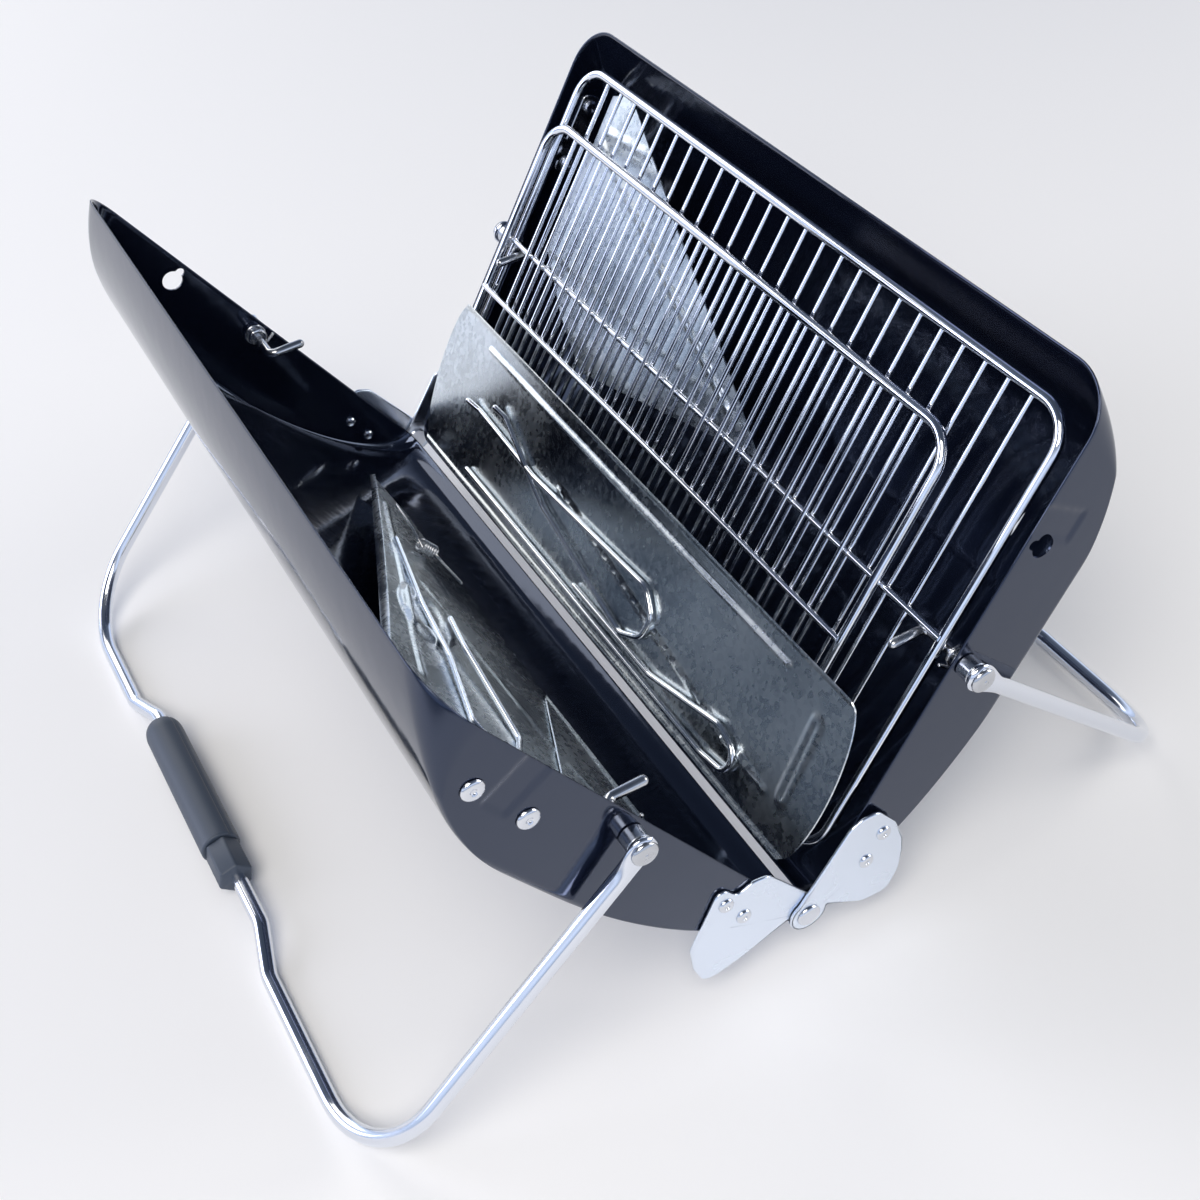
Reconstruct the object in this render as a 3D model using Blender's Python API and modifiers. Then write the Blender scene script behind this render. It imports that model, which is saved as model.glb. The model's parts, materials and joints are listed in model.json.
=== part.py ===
"""Folding camp grill: two enamelled half shells hinged along one edge, standing half open on two wire legs.

Metres, +Z up, origin on the ground below the hinge. The hinge runs along Y. Each half is built in its own frame:
X runs from the hinge along the rim, Y along the hinge, and Z out of the open mouth, so a depth in the bowl is -Z.
The left half is the right one turned half a turn about the vertical, as the real stampings are.
"""

import math

import bmesh
import bpy
import numpy as np
from mathutils import Matrix, Vector

# Shell
SHELL_LENGTH = 0.420
SHELL_WIDTH = 0.2705
LIP_OFFSET = 0.003
SHELL_DEPTH = 0.047
DEEPEST_AT = 0.160
SHEET = 0.0012
RIM_CORNER = 0.025
LIP_CORNER = 0.010
FOLD_RADIUS = 0.004
CORNER_FADE_DEPTH = 0.030
LEAN = math.radians(32.8)
RIM_GAP = 0.0004
GAP = 0.0003

# Legs, the wire bails that also make the carrying handle
LEG_PIVOT_AT = 0.138
LEG_PIVOT_DEPTH = 0.008
LEG_REACH = 0.197
LEG_ROD = 0.004
LEG_OPEN = math.radians(102.4)
LEG_BEND = 0.050
LEG_TAPER = 0.008
LEG_STAND_OFF = 0.0095
EYE_RADIUS = 0.007
EYE_THICKNESS = 0.004
JOG_DEPTH = 0.010
JOG_OUTER = 0.105
JOG_INNER = 0.080
JOG_CENTRE = -0.015
JOG_BEND = 0.012

# Handle grip on the left leg
GRIP_RADIUS = 0.010
GRIP_OFFSET = 0.0015
GRIP_COVER = (-0.086, 0.012)
GRIP_INSERT = (0.0125, 0.034)
GRIP_SCREW_RADIUS = 0.0022
GRIP_SCREW_INSET = 0.014

# Leg pins
PIN_RADIUS = 0.0024
PIN_CLEARANCE = 0.0004
PIN_ANGLE = math.radians(58)
PIN_TAIL = 0.020
PIN_INBOARD = {1: 0.0200, -1: 0.0260}
PIN_BEND = 0.004
PIN_HEAD = 0.006
SPACER_RADIUS = 0.0055
WASHER_RADIUS = 0.006
WASHER_THICKNESS = 0.001
CLIP_WIRE = 0.0009
CLIP_RADIUS = 0.0045
CLIP_SETBACK = 0.0035

# Hinge
PLATE_THICKNESS = 0.0018
PIVOT_RADIUS = 0.003
PIVOT_CLEARANCE = 0.0003
EAR_RADIUS = 0.0095
PIVOT_HEAD = 0.009
PIVOT_HEAD_HEIGHT = 0.0018
RIVET_RADIUS = 0.002
RIVET_HEAD = 0.0038
RIVET_HEAD_HEIGHT = 0.0014
RIVET_TAIL = 0.0030
INNER_PLATE_RIVETS = ((0.0526, 0.0152), (0.0361, 0.0157))
OUTER_PLATE_RIVETS = ((0.0480, 0.0165), (0.0315, 0.0165))

# Latch and vent
LATCH_RIVETS = ((0.2250, 0.0215), (0.1910, 0.0215))
LATCH_THICKNESS = 0.0012
LATCH_REACH = -0.002
LATCH_HALF_WIDTH = 0.0065
LATCH_MARGIN = 0.006
LATCH_CORNER = 0.003
VENT_AT = (0.1974, 0.0113)
VENT_RADIUS = 0.0055

# Grids
GRID_THICKNESS = 0.004
GRID_FRAME = 0.005
GRID_WIRE = 0.0025
GRID_PITCH = 0.0145
GRID_CORNER = 0.020
REAR_GRID_DEPTH = 0.0028
REAR_GRID_RIM_GAP = 0.0195
REAR_GRID_END_GAP = 0.0088
GRID_END_MARGIN = 0.017
REAR_GRID_LIP_GAP = 0.013
REAR_GRID_CROSS_PAST_LEG_PIN = 0.0035
FRONT_GRID_DEPTH = -0.0025
FRONT_GRID_RIM_GAP = 0.0540
FRONT_GRID_FAR_GAP = 0.0065
FRONT_GRID_NEAR_GAP = 0.0510
FRONT_GRID_LIP_GAP = 0.0100
FRONT_GRID_CROSS_PAST_LEG_PIN = -0.0280

# Galvanised sheets and wire tools
TRAY_SHEET = 0.0012
TRAY_LOWER = (0.0125, -0.0095)
TRAY_UPPER = (0.1020, -0.0195)
TRAY_FAR_GAP = 0.0130
TRAY_NEAR_GAP = 0.0070
TRAY_END_BULGE = 0.013
REAR_SHEET_DEPTH = 0.0140
LEFT_TRAY_LOWER = (0.0400, 0.0255)
LEFT_TRAY_UPPER = (0.2100, 0.0367)
LEFT_TRAY_END_GAP = 0.0240
FLANGE_HEIGHT = 0.005
TOOL_WIRE = 0.0016
TOOL_BEND = 0.004
LEFT_TRAY_NEAR_SPAN = (0.045, 0.160)
COVER_SHEET_NEAR_SPAN = (0.004, 0.062)
COVER_SHEET_NEAR_GAP = 0.004

# Outlines and wire paths: distance from the lower edge, share of the inside half length, rise over the sheet
REAR_SHEET = (
    (0.105, 0.517),
    (0.140, -0.211),
    (0.182, 0.177),
    (0.206, 0.426),
    (0.246, 0.785),
    (0.240, 0.861),
    (0.146, 0.861),
    (0.122, 0.690),
)
LEFT_TRAY_FAR_SIDE = ((0.000, -0.575), (0.010, -0.757), (0.152, 0.503), (0.165, 0.718))
LEFT_TRAY_NEAR_SIDE = ((0.000, 0.335),)
COVER_SHEET = ((0.006, 0.249), (0.060, 0.670))
FORK = (
    (0.046, 0.718, 0.002),
    (0.046, 0.661, 0),
    (0.043, 0.335, 0),
    (0.050, -0.220, 0),
    (0.040, -0.278, 0),
    (0.026, -0.268, 0),
    (0.018, -0.192, 0),
    (0.034, 0.263, 0),
    (0.056, 0.536, 0),
    (0.057, 0.584, 0.002),
)
LIFTER = (
    (0.0100, 0.638, 0),
    (0.0080, -0.593, 0),
    (0.0110, -0.689, 0),
    (0.0240, -0.689, 0),
    (0.0280, -0.612, 0),
    (0.0150, -0.344, 0),
    (0.0150, 0.030, 0),
)
HOOK = (
    (0.048, -0.297, 0),
    (0.074, 0.057, 0),
    (0.086, 0.297, 0),
    (0.110, 0.584, 0),
    (0.104, 0.642, 0),
    (0.088, 0.642, 0),
    (0.076, 0.565, 0),
    (0.068, 0.230, 0.002),
    (0.060, 0.096, 0.002),
)

PIN_HEAD_HEIGHT = 0.0018
HALF_LENGTH = SHELL_LENGTH / 2
INNER_END = HALF_LENGTH - SHEET
EYE_CENTRE = HALF_LENGTH + LEG_STAND_OFF
ROUND = 12

COLLECTION = "folding_camp_grill"
CUTTERS = "cutters"


def empty_scene():
    """Removes what the scene holds, and makes the two collections."""
    for obj in list(bpy.data.objects):
        bpy.data.objects.remove(obj, do_unlink=True)
    for name in (COLLECTION, CUTTERS):
        bpy.context.scene.collection.children.link(bpy.data.collections.new(name))


def material(name, colour, roughness, metallic):
    """One Principled finish."""
    made = bpy.data.materials.new(name)
    made.use_nodes = True
    made.diffuse_color = (*colour, 1)
    shader = made.node_tree.nodes["Principled BSDF"]
    shader.inputs["Base Color"].default_value = (*colour, 1)
    shader.inputs["Roughness"].default_value = roughness
    shader.inputs["Metallic"].default_value = metallic
    return made


def finishes():
    """The object's six finishes by name."""
    return {
        "enamel": material("black_enamel", (0.02, 0.022, 0.03), 0.12, 0.0),
        "chrome": material("chrome_wire", (0.75, 0.76, 0.80), 0.12, 1.0),
        "zinc": material("bright_zinc", (0.70, 0.72, 0.76), 0.25, 1.0),
        "galvanised": material("galvanised_steel", (0.45, 0.48, 0.50), 0.38, 1.0),
        "steel": material("steel_pin", (0.60, 0.58, 0.56), 0.28, 1.0),
        "grip": material("grip_plastic", (0.10, 0.12, 0.16), 0.45, 0.0),
    }


def place(obj, finish, parent, location=(0, 0, 0), rotation=(0, 0, 0)):
    """Links an object into the grill's collection under its parent, with its finish."""
    bpy.data.collections[COLLECTION].objects.link(obj)
    obj.parent = parent
    obj.location = location
    obj.rotation_euler = rotation
    if finish is not None:
        obj.data.materials.append(finish)
    return obj


def frame(name, parent=None, location=(0, 0, 0), rotation=(0, 0, 0)):
    """An empty that carries a group of pieces."""
    return place(bpy.data.objects.new(name, None), None, parent, location, rotation)


def smooth(mesh):
    """Rounds the shading, and keeps edges over 35 degrees sharp."""
    mesh.shade_smooth()
    mesh.set_sharp_from_angle(angle=math.radians(35))


def mesh_object(name, shape):
    """An object from a bmesh, which is freed."""
    mesh = bpy.data.meshes.new(name)
    bmesh.ops.recalc_face_normals(shape, faces=shape.faces)
    shape.to_mesh(mesh)
    shape.free()
    return bpy.data.objects.new(name, mesh)


def turned(name, profile, finish, parent, location, end, closed=False):
    """A shape turned about Y at one end of a half. The profile's points are (radius, distance from the middle),
    outermost first, and a closed one makes a ring."""
    mesh = bpy.data.meshes.new(name)
    count = len(profile)
    edges = [(index, index + 1) for index in range(count - 1)]
    if closed:
        edges.append((count - 1, 0))
    mesh.from_pydata([(radius, 0, along) for radius, along in profile], edges, [])
    obj = bpy.data.objects.new(name, mesh)
    screw = obj.modifiers.new("turn", "SCREW")
    screw.steps = screw.render_steps = ROUND
    screw.use_merge_vertices = True
    screw.merge_threshold = 0.00001
    screw.use_smooth_shade = True
    return place(obj, finish, parent, location, (-end * math.pi / 2, 0, 0))


def flat_curve(name, outlines, thickness):
    """A flat plate: the first outline is its edge and the others are holes."""
    curve = bpy.data.curves.new(name, "CURVE")
    curve.dimensions = "2D"
    curve.fill_mode = "BOTH"
    curve.extrude = thickness / 2
    for outline in outlines:
        spline = curve.splines.new("POLY")
        spline.points.add(len(outline) - 1)
        for point, (x, y) in zip(spline.points, outline):
            point.co = (x, y, 0, 1)
        spline.use_cyclic_u = True
    return bpy.data.objects.new(name, curve)


def wire_curve(name, points, radius, sides=2):
    """A round wire along the points."""
    curve = bpy.data.curves.new(name, "CURVE")
    curve.dimensions = "3D"
    curve.bevel_depth = radius
    curve.bevel_resolution = sides
    curve.use_fill_caps = True
    spline = curve.splines.new("POLY")
    spline.points.add(len(points) - 1)
    for point, place_of in zip(spline.points, points):
        point.co = (*place_of, 1)
    return bpy.data.objects.new(name, curve)


def as_mesh(obj):
    """The welded mesh object of a curve object, which is removed."""
    bpy.context.view_layer.update()
    graph = bpy.context.evaluated_depsgraph_get()
    mesh = bpy.data.meshes.new_from_object(obj.evaluated_get(graph))
    shape = bmesh.new()
    shape.from_mesh(mesh)
    bmesh.ops.remove_doubles(shape, verts=shape.verts, dist=0.000002)
    bmesh.ops.recalc_face_normals(shape, faces=shape.faces)
    shape.to_mesh(mesh)
    shape.free()
    made = bpy.data.objects.new(obj.name, mesh)
    made.parent = obj.parent
    made.location = obj.location
    made.rotation_euler = obj.rotation_euler
    name = obj.name
    for collection in obj.users_collection:
        collection.objects.link(made)
    bpy.data.objects.remove(obj, do_unlink=True)
    made.name = name
    return made


def rods(name, spans, radius, sides=ROUND):
    """A helper mesh of separate cylinders, each from one point to another, used for holes and bosses."""
    shape = bmesh.new()
    for start, finish in spans:
        start, finish = Vector(start), Vector(finish)
        run = finish - start
        matrix = Matrix.Translation((start + finish) / 2) @ run.to_track_quat("Z", "Y").to_matrix().to_4x4()
        bmesh.ops.create_cone(
            shape, cap_ends=True, segments=sides, radius1=radius, radius2=radius, depth=run.length, matrix=matrix
        )
    return mesh_object(name, shape)


def combine(obj, helper, operation):
    """Joins a helper to an object, or cuts it away."""
    bpy.data.collections[CUTTERS].objects.link(helper)
    helper.parent = obj.parent
    helper.location = obj.location
    helper.rotation_euler = obj.rotation_euler
    helper.hide_render = True
    helper.display_type = "WIRE"
    step = obj.modifiers.new(operation.lower(), "BOOLEAN")
    step.operation = operation
    step.object = helper


def arc(centre, radius, start, end, steps):
    """Points on an arc, in degrees, ends included."""
    angles = np.radians(np.linspace(start, end, steps + 1))
    return [(centre[0] + radius * math.cos(angle), centre[1] + radius * math.sin(angle)) for angle in angles]


def circle(centre, radius, sides=ROUND):
    return arc(centre, radius, 0, 360 - 360 / sides, sides - 1)


def rounded_rectangle(low, high, radius, steps=4):
    """Counter-clockwise outline with round corners."""
    (x0, y0), (x1, y1) = low, high
    return (
        arc((x1 - radius, y1 - radius), radius, 0, 90, steps)
        + arc((x0 + radius, y1 - radius), radius, 90, 180, steps)
        + arc((x0 + radius, y0 + radius), radius, 180, 270, steps)
        + arc((x1 - radius, y0 + radius), radius, 270, 360, steps)
    )


def rounded_path(corners, radius, steps=5):
    """An open path in space through the corners, each turned on an arc of the radius."""
    corners = [Vector(corner) for corner in corners]
    path = [corners[0]]
    for before, corner, after in zip(corners, corners[1:], corners[2:]):
        back, on = (before - corner).normalized(), (after - corner).normalized()
        half = back.angle(on) / 2
        bend = radius(corner) if callable(radius) else radius
        setback = bend / math.tan(half)
        centre = corner + (back + on).normalized() * (bend / math.sin(half))
        first, last = corner + back * setback - centre, corner + on * setback - centre
        turn = first.rotation_difference(last)
        for step in range(steps + 1):
            path.append(centre + Matrix.Rotation(turn.angle * step / steps, 3, turn.axis) @ first)
    path.append(corners[-1])
    return path


# Shell


def lip_side(depth, full_depth, deepest, lip):
    """How far from the hinge the bowl starts at this depth: a superellipse from the lip to the deepest line."""
    return deepest - (deepest - lip) * (1 - (depth / full_depth) ** 2) ** (1 / 2.2)


def rim_side(depth, full_depth, deepest, rim):
    """How far from the hinge the bowl ends at this depth: it leaves the rim at about 45 degrees."""
    return deepest + (rim - deepest) * (1 - depth / full_depth) ** (1 / 2.7)


def bowl_rings(inset, levels, corner_steps):
    """The bowl's surface as rings at rising depth, inset by the sheet for the inner one."""
    full_depth = SHELL_DEPTH - inset
    rings = []
    for share in np.sin(np.linspace(0, math.pi / 2, levels + 1)) * 0.995:
        depth = max(RIM_GAP, share * full_depth)
        low = lip_side(depth, full_depth, DEEPEST_AT, LIP_OFFSET + inset)
        high = rim_side(depth, full_depth, DEEPEST_AT, SHELL_WIDTH - 1.35 * inset)
        fade = max(0.0, 1 - depth / CORNER_FADE_DEPTH)
        outer = FOLD_RADIUS + (RIM_CORNER - FOLD_RADIUS) * fade - inset
        inner = LIP_CORNER - inset
        floor = 0.995 * full_depth
        sunk = max(0.0, (depth - (floor - FOLD_RADIUS)) / FOLD_RADIUS)
        half = HALF_LENGTH - inset - FOLD_RADIUS * (1 - math.sqrt(1 - min(1.0, sunk) ** 2)) * 0.9
        ring = (
            arc((high - outer, half - outer), outer, 0, 90, corner_steps)
            + arc((low + inner, half - inner), inner, 90, 180, corner_steps // 2)
            + arc((low + inner, inner - half), inner, 180, 270, corner_steps // 2)
            + arc((high - outer, outer - half), outer, 270, 360, corner_steps)
        )
        rings.append([(x, y, -depth) for x, y in ring])
    return rings


def shell(name, parent, finish):
    """A half shell: an outer and an inner bowl joined round the rim, with holes for what is fastened through it."""
    shape = bmesh.new()
    skins = []
    for inset in (0.0, SHEET):
        rings = [[shape.verts.new(point) for point in ring] for ring in bowl_rings(inset, 10, 6)]
        for ring, after in zip(rings, rings[1:]):
            for index in range(len(ring)):
                follow = (index + 1) % len(ring)
                shape.faces.new((ring[index], ring[follow], after[follow], after[index]))
        shape.faces.new(rings[-1])
        skins.append(rings[0])
    outside, inside = skins
    for index in range(len(outside)):
        follow = (index + 1) % len(outside)
        shape.faces.new((outside[index], outside[follow], inside[follow], inside[index]))
    obj = place(mesh_object(name, shape), finish, parent)
    smooth(obj.data)

    def through(end, spots, radius):
        reach = (INNER_END - 0.004, HALF_LENGTH + 0.004)
        return [((at, end * reach[0], -depth), (at, end * reach[1], -depth)) for at, depth in spots], radius

    holes = (
        through(1, INNER_PLATE_RIVETS + LATCH_RIVETS, RIVET_RADIUS + GAP),
        through(-1, OUTER_PLATE_RIVETS, RIVET_RADIUS + GAP),
        through(1, ((LEG_PIVOT_AT, LEG_PIVOT_DEPTH),), PIN_RADIUS + PIN_CLEARANCE),
        through(-1, ((LEG_PIVOT_AT, LEG_PIVOT_DEPTH),), PIN_RADIUS + PIN_CLEARANCE),
        through(-1, (VENT_AT,), VENT_RADIUS),
    )
    for index, (spans, radius) in enumerate(holes):
        combine(obj, rods(f"{name}_holes_{index}", spans, radius), "DIFFERENCE")


# Hinge


def inner_plate_outline():
    """Plate next to the shell: a broad lobe down the end, and an ear round the pivot."""
    tail = [(0.0117, -0.033), (0.0165, -0.047), (0.021, -0.052), (0.033, -0.049), (0.0457, -0.042)]
    top = [(0.0647, -0.010), (0.0516, -0.009), (0.0504, -0.005), (0.0498, -0.0005), (0.044, 0.006)]
    return tail + top + arc((0, 0), EAR_RADIUS, 60, 310, 9)


def outer_plate_outline():
    """Plate outside the other half's plate: a rounder lobe, with a straight edge along the rim."""
    tail = [(0.0060, -0.031), (0.0086, -0.037), (0.013, -0.044), (0.026, -0.0425), (0.038, -0.037)]
    top = [(0.045, -0.032), (0.054, -0.021), (0.060, -0.006), (0.056, 0.0015), (0.050, 0.0055)]
    return tail + top + arc((0, 0), EAR_RADIUS, 60, 310, 9)


def plate_level(level):
    """How far out a hinge plate's middle lies: level 0 is next to the shell, level 1 outside that."""
    return HALF_LENGTH + GAP + PLATE_THICKNESS / 2 + level * (PLATE_THICKNESS + GAP)


def hinge_plate(name, parent, finish, outline, rivets, end, level):
    """A flat plate on a shell's end, with holes for its rivets and the pivot."""
    holes = [circle((0, 0), PIVOT_RADIUS + PIVOT_CLEARANCE)]
    holes += [circle((at, -depth), RIVET_RADIUS + GAP) for at, depth in rivets]
    plate = flat_curve(name, [outline] + holes, PLATE_THICKNESS)
    place(plate, finish, parent, (0, end * plate_level(level), 0), (math.pi / 2, 0, 0))


def rivet(name, parent, finish, spot, end, level, inside):
    """A rivet from inside the shell to outside a plate; where the plate stands off, a shoulder fills the space.
    Level -1 is the shell alone, and inside is what lies under its tail."""
    top = HALF_LENGTH + GAP if level < 0 else plate_level(level) + PLATE_THICKNESS / 2 + GAP
    bottom = INNER_END - GAP - inside
    profile = [(0, top + RIVET_HEAD_HEIGHT), (RIVET_HEAD * 0.75, top + RIVET_HEAD_HEIGHT * 0.75), (RIVET_HEAD, top)]
    profile.append((RIVET_RADIUS, top))
    if level == 1:
        shoulder = plate_level(1) - PLATE_THICKNESS / 2 - GAP
        profile += [(RIVET_RADIUS, shoulder), (RIVET_HEAD, shoulder)]
        profile += [(RIVET_HEAD, HALF_LENGTH + GAP), (RIVET_RADIUS, HALF_LENGTH + GAP)]
    profile += [(RIVET_RADIUS, bottom), (RIVET_TAIL, bottom), (RIVET_TAIL, bottom - RIVET_HEAD_HEIGHT)]
    profile.append((0, bottom - RIVET_HEAD_HEIGHT))
    turned(name, profile, finish, parent, (spot[0], 0, -spot[1]), end)


def hinge_pin(name, parent, finish, end):
    """The pivot through both plates, headed on both sides."""
    top = plate_level(1) + PLATE_THICKNESS / 2 + GAP
    bottom = plate_level(0) - PLATE_THICKNESS / 2 - GAP
    profile = [
        (0, top + PIVOT_HEAD_HEIGHT),
        (PIVOT_HEAD * 0.8, top + PIVOT_HEAD_HEIGHT * 0.7),
        (PIVOT_HEAD, top),
        (PIVOT_RADIUS, top),
        (PIVOT_RADIUS, bottom),
        (PIVOT_RADIUS * 2, bottom),
        (PIVOT_RADIUS * 2, bottom - PIVOT_HEAD_HEIGHT),
        (0, bottom - PIVOT_HEAD_HEIGHT),
    ]
    turned(name, profile, finish, parent, (0, 0, 0), end)


# Latch


def latch(name, parent, finish):
    """A backing strip riveted inside the +Y end, with a tab up to just under the rim."""
    (outer_at, depth), (inner_at, _) = LATCH_RIVETS
    margin = LATCH_MARGIN
    outline = [
        (inner_at - margin, -depth - margin),
        (outer_at + margin, -depth - margin * 0.6),
        (outer_at + margin, -depth + margin),
        (VENT_AT[0] + LATCH_HALF_WIDTH, -depth + margin),
        (VENT_AT[0] + LATCH_HALF_WIDTH, LATCH_REACH - LATCH_CORNER),
        (VENT_AT[0] + LATCH_HALF_WIDTH - LATCH_CORNER, LATCH_REACH),
        (VENT_AT[0] - LATCH_HALF_WIDTH + LATCH_CORNER, LATCH_REACH),
        (VENT_AT[0] - LATCH_HALF_WIDTH, LATCH_REACH - LATCH_CORNER),
        (VENT_AT[0] - LATCH_HALF_WIDTH, -depth + margin),
        (inner_at - margin, -depth + margin),
    ]
    holes = [circle((at, -deep), RIVET_RADIUS + GAP) for at, deep in LATCH_RIVETS]
    strip = flat_curve(name, [outline] + holes, LATCH_THICKNESS)
    middle = INNER_END - GAP - LATCH_THICKNESS / 2
    place(strip, finish, parent, (0, middle, 0), (math.pi / 2, 0, 0))


# Legs and their pins


def leg_path():
    """The rod's middle line in the leg's own frame: X from the pivots to the foot, Y along the hinge."""
    jogged = LEG_REACH - JOG_DEPTH
    foot = EYE_CENTRE - LEG_TAPER
    corners = [
        (0, -EYE_CENTRE, 0),
        (LEG_REACH, -foot, 0),
        (LEG_REACH, JOG_CENTRE - JOG_OUTER, 0),
        (jogged, JOG_CENTRE - JOG_INNER, 0),
        (jogged, JOG_CENTRE + JOG_INNER, 0),
        (LEG_REACH, JOG_CENTRE + JOG_OUTER, 0),
        (LEG_REACH, foot, 0),
        (0, EYE_CENTRE, 0),
    ]
    return rounded_path(corners, lambda corner: LEG_BEND if abs(corner.y) > JOG_OUTER + abs(JOG_CENTRE) + JOG_BEND else JOG_BEND)


def leg(name, parent, finish):
    """A wire bail with an eye at each end."""
    rod = place(wire_curve(name, leg_path(), LEG_ROD), None, parent)
    obj = as_mesh(rod)
    obj.data.materials.append(finish)
    half = EYE_THICKNESS / 2
    eyes = [((0, end * EYE_CENTRE - half, 0), (0, end * EYE_CENTRE + half, 0)) for end in (-1, 1)]
    trims = [((0, end * (EYE_CENTRE + side * (half + 0.003)), 0), (0, end * (EYE_CENTRE + side * half), 0))
             for end in (-1, 1) for side in (-1, 1)]
    bores = [((0, end * EYE_CENTRE - 0.005, 0), (0, end * EYE_CENTRE + 0.005, 0)) for end in (-1, 1)]
    combine(obj, rods(f"{name}_eyes", eyes, EYE_RADIUS), "UNION")
    combine(obj, rods(f"{name}_trims", trims, EYE_RADIUS + 0.002), "DIFFERENCE")
    combine(obj, rods(f"{name}_bores", bores, PIN_RADIUS + PIN_CLEARANCE), "DIFFERENCE")


def leg_pin(name, parent, finish, end):
    """The leg's pivot pin: a head outside the eye, a shank into the shell and a tail bent out of the mouth."""
    outer = EYE_CENTRE + EYE_THICKNESS / 2 + GAP
    turn = HALF_LENGTH - PIN_INBOARD[end]
    tail = Vector((-math.cos(PIN_ANGLE), 0, math.sin(PIN_ANGLE))) * PIN_TAIL
    start = Vector((0, end * (outer + PIN_HEAD_HEIGHT / 2), 0))
    corner = Vector((0, end * turn, 0))
    rod = wire_curve(name, rounded_path([start, corner, corner + tail], PIN_BEND, 4), PIN_RADIUS)
    obj = as_mesh(place(rod, None, parent, (LEG_PIVOT_AT, 0, -LEG_PIVOT_DEPTH)))
    obj.data.materials.append(finish)
    head = [((0, end * outer, 0), (0, end * (outer + PIN_HEAD_HEIGHT), 0))]
    combine(obj, rods(f"{name}_head", head, PIN_HEAD), "UNION")


def ring(name, parent, finish, end, radius, near, far):
    """A plain ring on a leg pin, from one distance to another."""
    bore = PIN_RADIUS + PIN_CLEARANCE
    profile = [(bore, far), (radius, far), (radius, near), (bore, near)]
    turned(name, profile, finish, parent, (LEG_PIVOT_AT, 0, -LEG_PIVOT_DEPTH), end, closed=True)


def clip(name, parent, finish, end):
    """The spring clip round the pin behind its washer, with one leg standing up."""
    loop = arc((0, 0), CLIP_RADIUS, -60, 200, 8)
    tail = (CLIP_RADIUS * math.cos(math.radians(200)) - 0.002, 0.007)
    path = [(x, 0, z) for x, z in loop] + [(tail[0], 0, 0.002), (tail[0] + 0.0008, 0, tail[1])]
    distance = INNER_END - GAP - WASHER_THICKNESS - CLIP_SETBACK
    place(wire_curve(name, path, CLIP_WIRE, 1), finish, parent, (LEG_PIVOT_AT, end * distance, -LEG_PIVOT_DEPTH))


def leg_fittings(side, end, parent, colours):
    """Spacer, washer, clip and pin of one leg pivot."""
    inner_eye = EYE_CENTRE - EYE_THICKNESS / 2 - GAP
    tag = f"{side}_{END_NAMES[side][end]}"
    ring(f"{tag}_leg_spacer", parent, colours["zinc"], end, SPACER_RADIUS, HALF_LENGTH + GAP, inner_eye)
    washer = INNER_END - GAP
    ring(f"{tag}_leg_washer", parent, colours["zinc"], end, WASHER_RADIUS, washer - WASHER_THICKNESS, washer)
    clip(f"{tag}_leg_clip", parent, colours["steel"], end)
    leg_pin(f"{tag}_leg_pin", parent, colours["steel"], end)


END_NAMES = {"right": {1: "far", -1: "near"}, "left": {1: "near", -1: "far"}}


# Grip


def grip_shape(name, span, radius, sides, turn, round_end):
    """A sleeve round the leg's jogged rod, its middle set off towards the other leg."""
    low, high = span
    middle = Vector((LEG_REACH - JOG_DEPTH, 0, GRIP_OFFSET))
    shape = bmesh.new()
    steps = [(low, 1.0), (high, 1.0)]
    if round_end:
        steps = [(low, 0.62), (low + 0.0025, 0.86), (low + 0.0065, 1.0), (high, 1.0)]
    rings = []
    for along, share in steps:
        points = circle((0, 0), radius * share, sides)
        spin = Matrix.Rotation(turn, 3, "Y")
        rings.append([shape.verts.new(middle + Vector((0, along, 0)) + spin @ Vector((x, 0, z))) for x, z in points])
    for before, after in zip(rings, rings[1:]):
        for index in range(sides):
            follow = (index + 1) % sides
            shape.faces.new((before[index], before[follow], after[follow], after[index]))
    shape.faces.new(rings[0])
    shape.faces.new(rings[-1])
    return mesh_object(name, shape)


def grip(parent, colours):
    """The plastic cover, the shorter insert that steps out of its end, and two small screws in the cover."""
    bore = [((LEG_REACH - JOG_DEPTH, -0.11, 0), (LEG_REACH - JOG_DEPTH, 0.11, 0))]
    screws = (GRIP_COVER[0] + GRIP_SCREW_INSET, GRIP_COVER[1] - GRIP_SCREW_INSET)
    cover = place(grip_shape("grip_cover", GRIP_COVER, GRIP_RADIUS, 16, 0, True), colours["grip"], parent)
    insert = grip_shape("grip_insert", GRIP_INSERT, GRIP_RADIUS * 0.94, 6, math.pi / 6, False)
    place(insert, colours["grip"], parent)
    for index, obj in enumerate((cover, insert)):
        combine(obj, rods(f"grip_bore_{index}", bore, LEG_ROD + GAP, 16), "DIFFERENCE")
    out = Vector((1, 0, 0))
    seat = GRIP_RADIUS - 0.003
    for index, along in enumerate(screws):
        middle = Vector((LEG_REACH - JOG_DEPTH, along, GRIP_OFFSET))
        spot = rods(
            f"grip_recess_{index}", [(middle + out * seat, middle + out * 0.012)], GRIP_SCREW_RADIUS + GAP
        )
        combine(cover, spot, "DIFFERENCE")
        screw = rods(
            f"grip_screw_{index + 1}",
            [(middle + out * (seat + GAP), middle + out * (seat + 0.0018))],
            GRIP_SCREW_RADIUS,
        )
        place(screw, colours["zinc"], parent)


# Grids


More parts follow.
